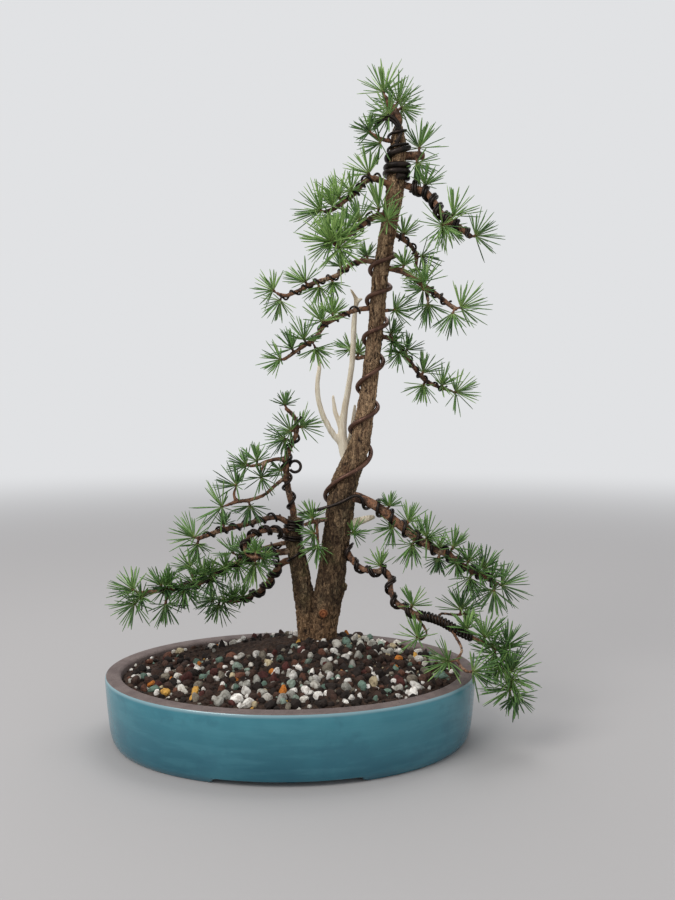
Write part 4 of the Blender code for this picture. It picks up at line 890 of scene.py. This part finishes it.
def makeDeadwood():
    finish = makeDeadwoodMaterial()
    for name in ("jin_main", "jin_right"):
        shape = readNode(name)
        rootInTrunk(shape)
        mesh = grownMesh(shape, name, deadwoodShape["voxel"])
        points, normals = readPoints(mesh), readPoints(mesh, "normal")
        lift = np.array([grainLift(Vector(row) / mm) for row in points])
        writePoints(mesh, points + normals * (lift * mm)[:, None])
        finishPiece("bleached" + titled(name), mesh, finish, "deadwood", name)


makeDeadwood()
print("deadwood ready")


# Branches and needles

branchShape = {"voxel": 0.0005, "plateAcross": 2.2, "plateAlong": 3.0, "relief": 0.26, "swell": 0.40}
needleShape = {
    "share": 2.2,              # fine needles for each one of the solid
    "halfWidth": 0.68,         # millimetres
    "sides": 4,
    "flatness": 0.62,
    "bow": 0.07,
    "backShorter": 0.26,
    "rings": ((0.03, 0.58), (0.25, 0.96), (0.82, 1.0), (1.0, 0.40)),    # share of the length, and girth
    "longer": 1.03,
    "spread": 0.09,
    "leastLength": 5.0,
    "straightness": 0.975,     # of a solid's needle, by the edges at its tip
    "rootBack": 1.35,
    "budSize": 1.15,
    "shadeBelow": 180,         # the lower foliage is darker, from this height down
    "sunAbove": 420,
    "edgeRoom": 0.3,           # kept free inside the solids' box
}
needleTones = ((0.028, 0.072, 0.020), (0.120, 0.245, 0.060), (0.330, 0.490, 0.150))
needleFoot = (0.28, 0.36, 0.12)
# where the foliage is fullest and brightest: a place, its reach and how much fuller
fullest = (((31, -14, 403), 30, 0.8), ((58, 15, 425), 22, 0.4), ((30, 10, 430), 22, 0.4),
           ((-55, 20, 130), 45, 0.35), ((84, 30, 540), 26, 0.5), ((150, -30, 60), 40, 0.3),
           ((20, 14, 330), 30, 0.25))
# further sprays, too close together for the solids: a place on the twig, the way it faces
# and the length of its needles
moreSprays = {
    "branch_left_2": (((44, -3, 404), (-0.3, -0.5, 0.8), 25), ((38, -10, 399), (0.1, -0.7, 0.7), 27),
                      ((35, -14, 396), (-0.8, -0.3, 0.5), 26)),
    "branch_left_1": (((50, 18, 443), (-0.3, -0.3, 0.9), 21), ((34, 10, 429), (-0.2, -0.7, 0.7), 22)),
    "branch_second_4": (((-57, 28, 129), (-0.2, -0.8, 0.3), 20), ((-70, 25, 122), (0.1, -0.8, -0.5), 22),
                        ((-83, 22, 116), (-0.2, -0.8, 0.4), 22), ((-94, 21, 115), (0.1, -0.6, -0.8), 21),
                        ((-107, 19, 113), (-0.1, -0.8, 0.3), 21), ((-48, 32, 133), (0.2, -0.7, -0.5), 20),
                        ((-125, 14, 108), (-0.4, -0.8, -0.1), 20)),
    "branch_second_5": (((-64, 62.5, 92.5), (0.1, -0.9, 0.3), 21), ((-46, 62.5, 94), (-0.2, -0.7, 0.7), 19)),
    "branch_right_6": (((160, -32, 76.5), (-0.2, -0.7, 0.6), 20), ((165, -38, 63), (-0.4, -0.8, 0.3), 21),
                       ((173, -38, 55), (0.0, -0.9, -0.3), 22), ((168, -35, 75), (0.1, -0.8, 0.3), 20)),
    "branch_right_5": (((109, 23.5, 154), (-0.2, 0.2, 1), 17), ((125, 19, 145), (0.1, 0.4, 0.9), 17),
                       ((139, 16, 136), (-0.1, -0.8, -0.3), 19), ((157, 12, 127), (0.1, -0.8, 0.3), 19),
                       ((167, 10, 121), (0.2, -0.5, 0.8), 20)),
}
furtherShape = {"ways": 20, "backTo": -0.3, "lift": 2.4}


def needlesOf(shape):
    # tips whose edges all run the same way: (tip corner, base, way, length)
    found = []
    for corner in shape.verts:
        runs = [link.other_vert(corner).co - corner.co for link in corner.link_edges]
        reach = max(run.length for run in runs)
        if len(runs) < 3 or reach < needleShape["leastLength"] * mm:
            continue
        mean = sum((run.normalized() for run in runs), Vector()).normalized()
        if min(mean.dot(run.normalized()) for run in runs) > needleShape["straightness"]:
            found.append((corner, corner.co + mean * reach, -mean, reach))
    return found


def spraysOf(needles):
    # needles that start round the same bud belong to one spray
    hearts = [base - way * needleShape["rootBack"] * mm for _, base, way, _ in needles]
    owner = list(range(len(needles)))

    def root(k):
        while owner[k] != k:
            k = owner[k]
        return k

    for a in range(len(needles)):
        for b in range(a):
            if (hearts[a] - hearts[b]).length < needleShape["budSize"] * mm:
                owner[root(a)] = root(b)
    groups = {}
    for k in range(len(needles)):
        groups.setdefault(root(k), []).append(k)
    sprays = []
    for members in groups.values():
        heart = sum((hearts[k] for k in members), Vector()) / len(members)
        sprays.append((heart, [(needles[k][2], needles[k][3]) for k in members]))
    return sprays


def furtherSpray(place, facing, length):
    facing = Vector(facing).normalized()
    members = []
    for n in range(furtherShape["ways"]):
        high = 1 - 2 * (n + 0.5) / furtherShape["ways"]
        out = math.sqrt(1 - high * high)
        way = Vector((out * math.cos(goldenTurn * n), out * math.sin(goldenTurn * n), high))
        if way.dot(facing) > furtherShape["backTo"]:
            members.append((way, length * mm * (0.82 + 0.18 * way.dot(facing))))
    return spot(*place) + facing * furtherShape["lift"] * mm, members


def fullness(place):
    most = 0.0
    for where, reach, amount in fullest:
        near = 1 - (place - spot(*where)).length / (reach * mm)
        most = max(most, amount * min(1, 2 * near))
    return most


def betweenNeedles(members, weights):
    # a further needle, between one of the spray's own and a neighbour of it
    way, length = random.choices(members, weights)[0]
    others = sorted(members, key=lambda m: -m[0].dot(way))[1:4]
    others = [m for m in others if m[0].dot(way) > 0.2]
    if others:
        other, otherLength = random.choice(others)
        share = random.uniform(0.25, 0.75)
        way = (way * (1 - share) + other * share).normalized()
        length = (length * (1 - share) + otherLength * share) * random.uniform(0.78, 1.0)
    spread = needleShape["spread"]
    way = (way + Vector([random.uniform(-spread, spread) for _ in range(3)])).normalized()
    return way, length


def fineNeedles(sprays, label):
    # lines for the strand tree: each needle is bowed and tapers to its tip
    look = needleShape
    shape = bmesh.new()
    taper, tone, rise = [], [], []
    for heart, members in sprays:
        facing = sum((way for way, _ in members), Vector()).normalized()
        full = fullness(heart)
        # painted light and shade: sprays low in the tree are painted darker and high ones brighter, over a
        # random tone
        level = (heart.z / mm - look["shadeBelow"]) / (look["sunAbove"] - look["shadeBelow"])
        sprayToneAndLight = random.uniform(-0.10, 0.32) + 0.20 * full + 0.2 * min(1, max(0, level))
        wanted = round(len(members) * look["share"] * (1 + 0.5 * full))
        weights = [0.45 + max(0.0, way.dot(facing)) for way, _ in members]
        for k in range(wanted):
            way, length = members[k] if k < len(members) else betweenNeedles(members, weights)
            side = way.orthogonal().normalized()
            side.rotate(Matrix.Rotation(random.uniform(0, 6.283), 3, way))
            length *= 1 - look["backShorter"] * (0.5 - 0.5 * way.dot(facing)) + 0.08 * full
            bow = length * look["bow"] * random.uniform(0.2, 1.0)
            # needles that face upwards are painted brighter, as painted light, over a random tone
            needleToneAndLight = sprayToneAndLight + random.uniform(-0.12, 0.42) + 0.15 * max(0, way.z)
            addLine(shape, [heart + way * length * step * look["longer"] + side * bow * step * step
                            for step, _ in look["rings"]])
            for step, girth in look["rings"]:
                taper.append(girth)
                tone.append(needleToneAndLight)
                rise.append(step)
    mesh = meshOf(shape, label)
    low = np.array(cadLow) + look["edgeRoom"] * mm
    high = np.array(cadHigh) - look["edgeRoom"] * mm
    writePoints(mesh, np.clip(readPoints(mesh), low, high))
    keepAttribute(mesh, "taper", taper)
    keepAttribute(mesh, "tone", tone)
    keepAttribute(mesh, "rise", rise)
    return mesh


def makeNeedleMaterial():
    paint = Paint("needles", roughness=0.48, specular=0.45)
    # the tone holds random variation together with painted light and shade
    tone = paint.attribute("tone")
    dark, middle, bright = needleTones
    green = paint.between(paint.ranged(tone, 0.0, 0.5), dark, middle)
    green = paint.between(paint.ranged(tone, 0.5, 1.0), green, bright)
    foot = paint.ranged(paint.attribute("rise"), 0.0, 0.35)
    paint.set("Base Color", paint.between(foot, needleFoot, green))
    return paint.material


def makeBranches():
    twigs, green = makeTwigMaterial(), makeNeedleMaterial()
    for name in leafyNodes:
        shape = readNode(name)
        needles = needlesOf(shape)
        sprays = spraysOf(needles) + [furtherSpray(*spray) for spray in moreSprays.get(name, ())]
        foliage = runTree(looseObject(name, fineNeedles(sprays, name)), strandTree, {
            "Girth": needleShape["halfWidth"] * mm, "Flatness": needleShape["flatness"],
            "Sides": needleShape["sides"], "Material": green})
        finishPiece("needles" + titled(name), foliage, green, "leafy", name)
        # the solid's own needles are drawn back into their buds, and the rest is the wood
        for corner, base, way, _ in needles:
            corner.co = base - way * 0.3 * mm
        rootInTrunk(shape)
        wood = grownMesh(shape, name, branchShape["voxel"])
        coverWithBark(wood, branchShape)
        finishPiece("wood" + titled(name), wood, twigs, "leafy", name)
        print(name, len(sprays), "sprays", len(needles), "needles", len(wood.polygons), "wood faces")


makeBranches()
print("branches ready")


# Training wire

wireShape = {
    "sides": 10,
    "thickSides": 14,
    "thickOver": 1.8,
    "steps": 5,            # of the smooth line for each ring of the solid
    "ringsPerTurn": 5,
    "coilSteps": 20,
    "thicker": 1.14,
    "strandsApart": 2.05,
    "clearance": 0.1,
}
wireLook = {
    "brown wire": ((0.085, 0.042, 0.030), (0.150, 0.080, 0.055), 0.46),
    "dark wire": ((0.014, 0.011, 0.010), (0.040, 0.028, 0.023), 0.40),
}
# wires that run as a pair, the second strand beside the first
pairedWires = ("wire_right_6", "wire_second_2", "wire_second_4", "wire_second_5", "wire_right_1")
# short lengths wound on where the solids' coils stop: the wood's line, its radius, the wire's
# radius, the rise of a turn and the number of strands
woundOn = (
    (((106, -5, 95), (112, -8, 95), (123, -14, 92), (133, -20, 87), (145, -25.5, 82.5)), 2.1, 1.0, 8.5, 3),
    (((-1.5, 48, 149.2), (-1, 48, 151.8), (-0.6, 48, 154.4)), 7.6, 1.15, 2.5, 1),
    (((4, 48, 133), (-0.5, 48, 141)), 7.9, 1.1, 7.0, 1),
    (((-0.4, 48, 158), (0.2, 48, 163), (0.9, 48, 168.5)), 6.9, 1.1, 2.5, 1),
    (((89.5, 33, 480), (90, 32, 499)), 7.2, 1.2, 11.0, 1),
)
# ends of thick wire hooked over the crown, and a curl left standing beside the leader
crownHook = {
    "points": ((70, 31, 505), (74, 28, 510), (81, 26, 511.5), (87, 25, 508), (91, 25, 501),
               (91.5, 25.5, 494), (87, 25, 488.5)),
    "wire": 1.4,
    "beside": (-0.6, 0.4, -2.6),
}
wireCurl = {"middle": (1.6, 43.5, 215.0), "radius": 4.9, "wire": 1.35, "start": -150, "turn": 335, "steps": 28}


def centreLine(name):
    # the middles of a solid wire's rings, in order, and its radius
    shape = readNode(name)
    shape.verts.ensure_lookup_table()
    finest = min(link.calc_length() for link in shape.edges)

    def levels(start):
        order = [list(start)]
        seen = set(start)
        while order[-1]:
            order.append([])
            for corner in order[-2]:
                for link in corner.link_edges:
                    other = link.other_vert(corner)
                    if other not in seen:
                        seen.add(other)
                        order[-1].append(other)
        return order[:-1]

    end = levels([shape.verts[0]])[-1][0]
    rings = levels([v for v in shape.verts if (v.co - end.co).length < finest * 2.1])
    middles = [sum((v.co for v in ring), Vector()) / len(ring) for ring in rings]
    radius = sum((v.co - middles[0]).length for v in rings[0]) / len(rings[0])
    shape.free()
    return middles, radius


def drawnIn(middles):
    # a smooth line that the points pull towards them, so that the wire lies close to the wood
    knots = [middles[0]] * 2 + list(middles) + [middles[-1]] * 2
    line = []
    for k in range(len(knots) - 3):
        a, b, c, d = knots[k:k + 4]
        for n in range(wireShape["steps"]):
            t = n / wireShape["steps"]
            line.append((a * (1 - t) ** 3 + b * (3 * t ** 3 - 6 * t * t + 4)
                         + c * (3 * t + 3 * t * t - 3 * t ** 3 + 1) + d * t ** 3) / 6)
    line.append(middles[-1])
    return line


def besideLine(line, radius):
    # a second strand, laid beside the first along the wood, whose middle is the mean of a turn
    turn = wireShape["steps"] * wireShape["ringsPerTurn"]
    middle = []
    for k in range(len(line)):
        low, high = max(0, k - turn // 2), min(len(line), k + turn // 2 + 1)
        middle.append(sum(line[low:high], Vector()) / (high - low))
    beside = []
    for k, place in enumerate(line):
        ahead = middle[min(len(line) - 1, k + 4)] - middle[max(0, k - 4)]
        beside.append(place + ahead.normalized() * radius * wireShape["strandsApart"])
    return beside


def coilAlong(points, wood, radius, rise, start):
    # a coil round a line of points on the wood, begun at a share of a turn
    knots = [spot(*point) for point in points]
    lengths = [0.0]
    for a, b in zip(knots[:-1], knots[1:]):
        lengths.append(lengths[-1] + (b - a).length)
    side = (knots[1] - knots[0]).orthogonal().normalized()
    reach = (wood + radius + wireShape["clearance"]) * mm
    line = []
    count = max(8, round(lengths[-1] / (rise * mm) * wireShape["coilSteps"]))
    for k in range(count + 1):
        at = lengths[-1] * k / count
        place = Vector([np.interp(at, lengths, [knot[axis] for knot in knots]) for axis in range(3)])
        piece = min(len(knots) - 2, int(np.searchsorted(lengths, at, side="right")) - 1)
        ahead = (knots[piece + 1] - knots[piece]).normalized()
        side = (side - ahead * side.dot(ahead)).normalized()
        turn = 2 * math.pi * (k / wireShape["coilSteps"] + start)
        line.append(place + (side * math.cos(turn) + ahead.cross(side) * math.sin(turn)) * reach)
    return line


def curlLine():
    middle = spot(*wireCurl["middle"])
    line = []
    for k in range(wireCurl["steps"] + 1):
        turn = math.radians(wireCurl["start"] + wireCurl["turn"] * k / wireCurl["steps"])
        line.append(middle + Vector((math.cos(turn), -0.25 + k / 60, math.sin(turn))) * wireCurl["radius"] * mm)
    return line


def windWire(name, line, radius, finish, slotName, *replaced):
    shape = bmesh.new()
    addLine(shape, line)
    mesh = meshOf(shape, name)
    keepAttribute(mesh, "taper", np.ones(len(line)))
    sides = wireShape["thickSides" if radius > wireShape["thickOver"] * mm else "sides"]
    wire = runTree(looseObject(name, mesh), strandTree, {
        "Girth": radius, "Flatness": 1.0, "Sides": sides, "Material": finish})
    finishPiece(name, wire, finish, slotName, *replaced)


def makeWireMaterial(name):
    dark, light, roughness = wireLook[name]
    paint = Paint(name, roughness=roughness, metallic=0.75)
    tone = paint.mottled(dark, light, 120, 0.35, 0.65, 4)
    # painted glints: small spots much lighter than the wire
    glintSpots = tuple(min(1, part * 2.6) for part in light)
    paint.set("Base Color", paint.mottled(tone, glintSpots, 480, 0.64, 0.74, 3))
    return paint.material


def makeWires():
    copper, dark = makeWireMaterial("brown wire"), makeWireMaterial("dark wire")
    for name in wireNodes:
        middles, radius = centreLine(name)
        line = drawnIn(middles)
        if name == "trunk_wire":
            finish, slotName = copper, "copper_wire"
        else:
            finish, slotName = dark, "dark_wire"
            radius *= wireShape["thicker"]
        windWire("wound" + titled(name), line, radius, finish, slotName, name)
        if name in pairedWires:
            windWire("beside" + titled(name), besideLine(line, radius), radius, finish, slotName, name)
        print(name, len(middles), "rings", round(radius / mm, 2), "mm")
    for k, (points, wood, radius, rise, strands) in enumerate(woundOn):
        for n in range(strands):
            line = coilAlong(points, wood, radius, rise, n / strands)
            windWire("woundOn%d_%d" % (k + 1, n + 1), line, radius * mm, dark, "dark_wire")
    windWire("wireCurl", curlLine(), wireCurl["wire"] * mm, dark, "dark_wire", "leader_wire")
    hook = drawnIn([spot(*point) for point in crownHook["points"]])
    beside = [place + Vector(crownHook["beside"]) * mm for place in hook]
    windWire("hookedEnd", hook, crownHook["wire"] * mm, dark, "dark_wire", "crown_wire")
    windWire("hookedEndBeside", beside, crownHook["wire"] * mm, dark, "dark_wire", "crown_wire")


makeWires()
print("wires ready")


# Floor, light and camera

studio = {
    "air": (0.94, 0.95, 0.97),
    "brightness": 0.80,
    "floor": (0.38, 0.37, 0.37),
    "near": 0.35,          # metres from the pot at which the floor starts to fade, and ends
    "far": 3.4,
    "reach": 60,
}
lamps = (
    # name, place, what it is turned to, size, power, colour
    ("window", (-1.1, -1.0, 1.6), (0, 0, 0.2), 1.1, 24, (1.0, 0.98, 0.95)),
    ("top", (0.2, 0.4, 1.7), (0, 0, 0.1), 0.9, 9, (1.0, 1.0, 1.0)),
)
cameraPlace = {
    "across": 21.7,
    "back": -638.3,
    "up": 263.0,
    "yaw": 1.43,
    "pitch": 2.57,
    "lens": 41.6,
    "sensor": 36,
}


def makeStage():
    # a wide floor that brightens outwards into the studio's own light, so that no edge shows
    floor = Paint("floor", roughness=1.0, specular=0.0)
    away = floor.vectorMaths("LENGTH", "Value", {0: floor.object})
    share = floor.add("ShaderNodeMapRange", {
        "Value": away, "From Min": studio["near"], "From Max": studio["far"]},
        interpolation_type="SMOOTHERSTEP").outputs["Result"]
    glow = tuple(part * studio["brightness"] for part in studio["air"])
    floor.set("Base Color", floor.between(share, studio["floor"], (0.0, 0.0, 0.0)))
    floor.set("Emission Color", floor.between(share, (0.0, 0.0, 0.0), glow))
    floor.shader.inputs["Emission Strength"].default_value = 1.0
    shape = bmesh.new()
    bmesh.ops.create_circle(shape, cap_ends=True, segments=96, radius=studio["reach"])
    mesh = meshOf(shape, "floor")
    mesh.materials.append(floor.material)
    looseObject("floor", mesh)


def makeLight():
    world = bpy.data.worlds.new("studio")
    world.use_nodes = True
    background = world.node_tree.nodes["Background"].inputs
    background["Color"].default_value = (*studio["air"], 1)
    background["Strength"].default_value = studio["brightness"]
    bpy.context.scene.world = world
    for name, place, aim, size, power, colour in lamps:
        light = bpy.data.lights.new(name, "AREA")
        light.shape = "DISK"
        light.size = size
        light.energy = power
        light.color = colour
        lamp = looseObject(name, light)
        lamp.location = place
        lamp.rotation_euler = (Vector(aim) - Vector(place)).to_track_quat("-Z", "Y").to_euler()
    bpy.context.scene.view_settings.view_transform = "Standard"


def makeCamera():
    data = bpy.data.cameras.new("camera")
    data.sensor_fit = "HORIZONTAL"
    data.sensor_width = cameraPlace["sensor"]
    data.lens = cameraPlace["lens"]
    camera = looseObject("camera", data)
    camera.location = (potMiddle.x + cameraPlace["across"] * mm, potMiddle.y + cameraPlace["back"] * mm,
                       cameraPlace["up"] * mm)
    camera.rotation_euler = (math.radians(90 - cameraPlace["pitch"]), 0, math.radians(-cameraPlace["yaw"]))
    bpy.context.scene.camera = camera


makeStage()
makeLight()
makeCamera()
print("stage ready")
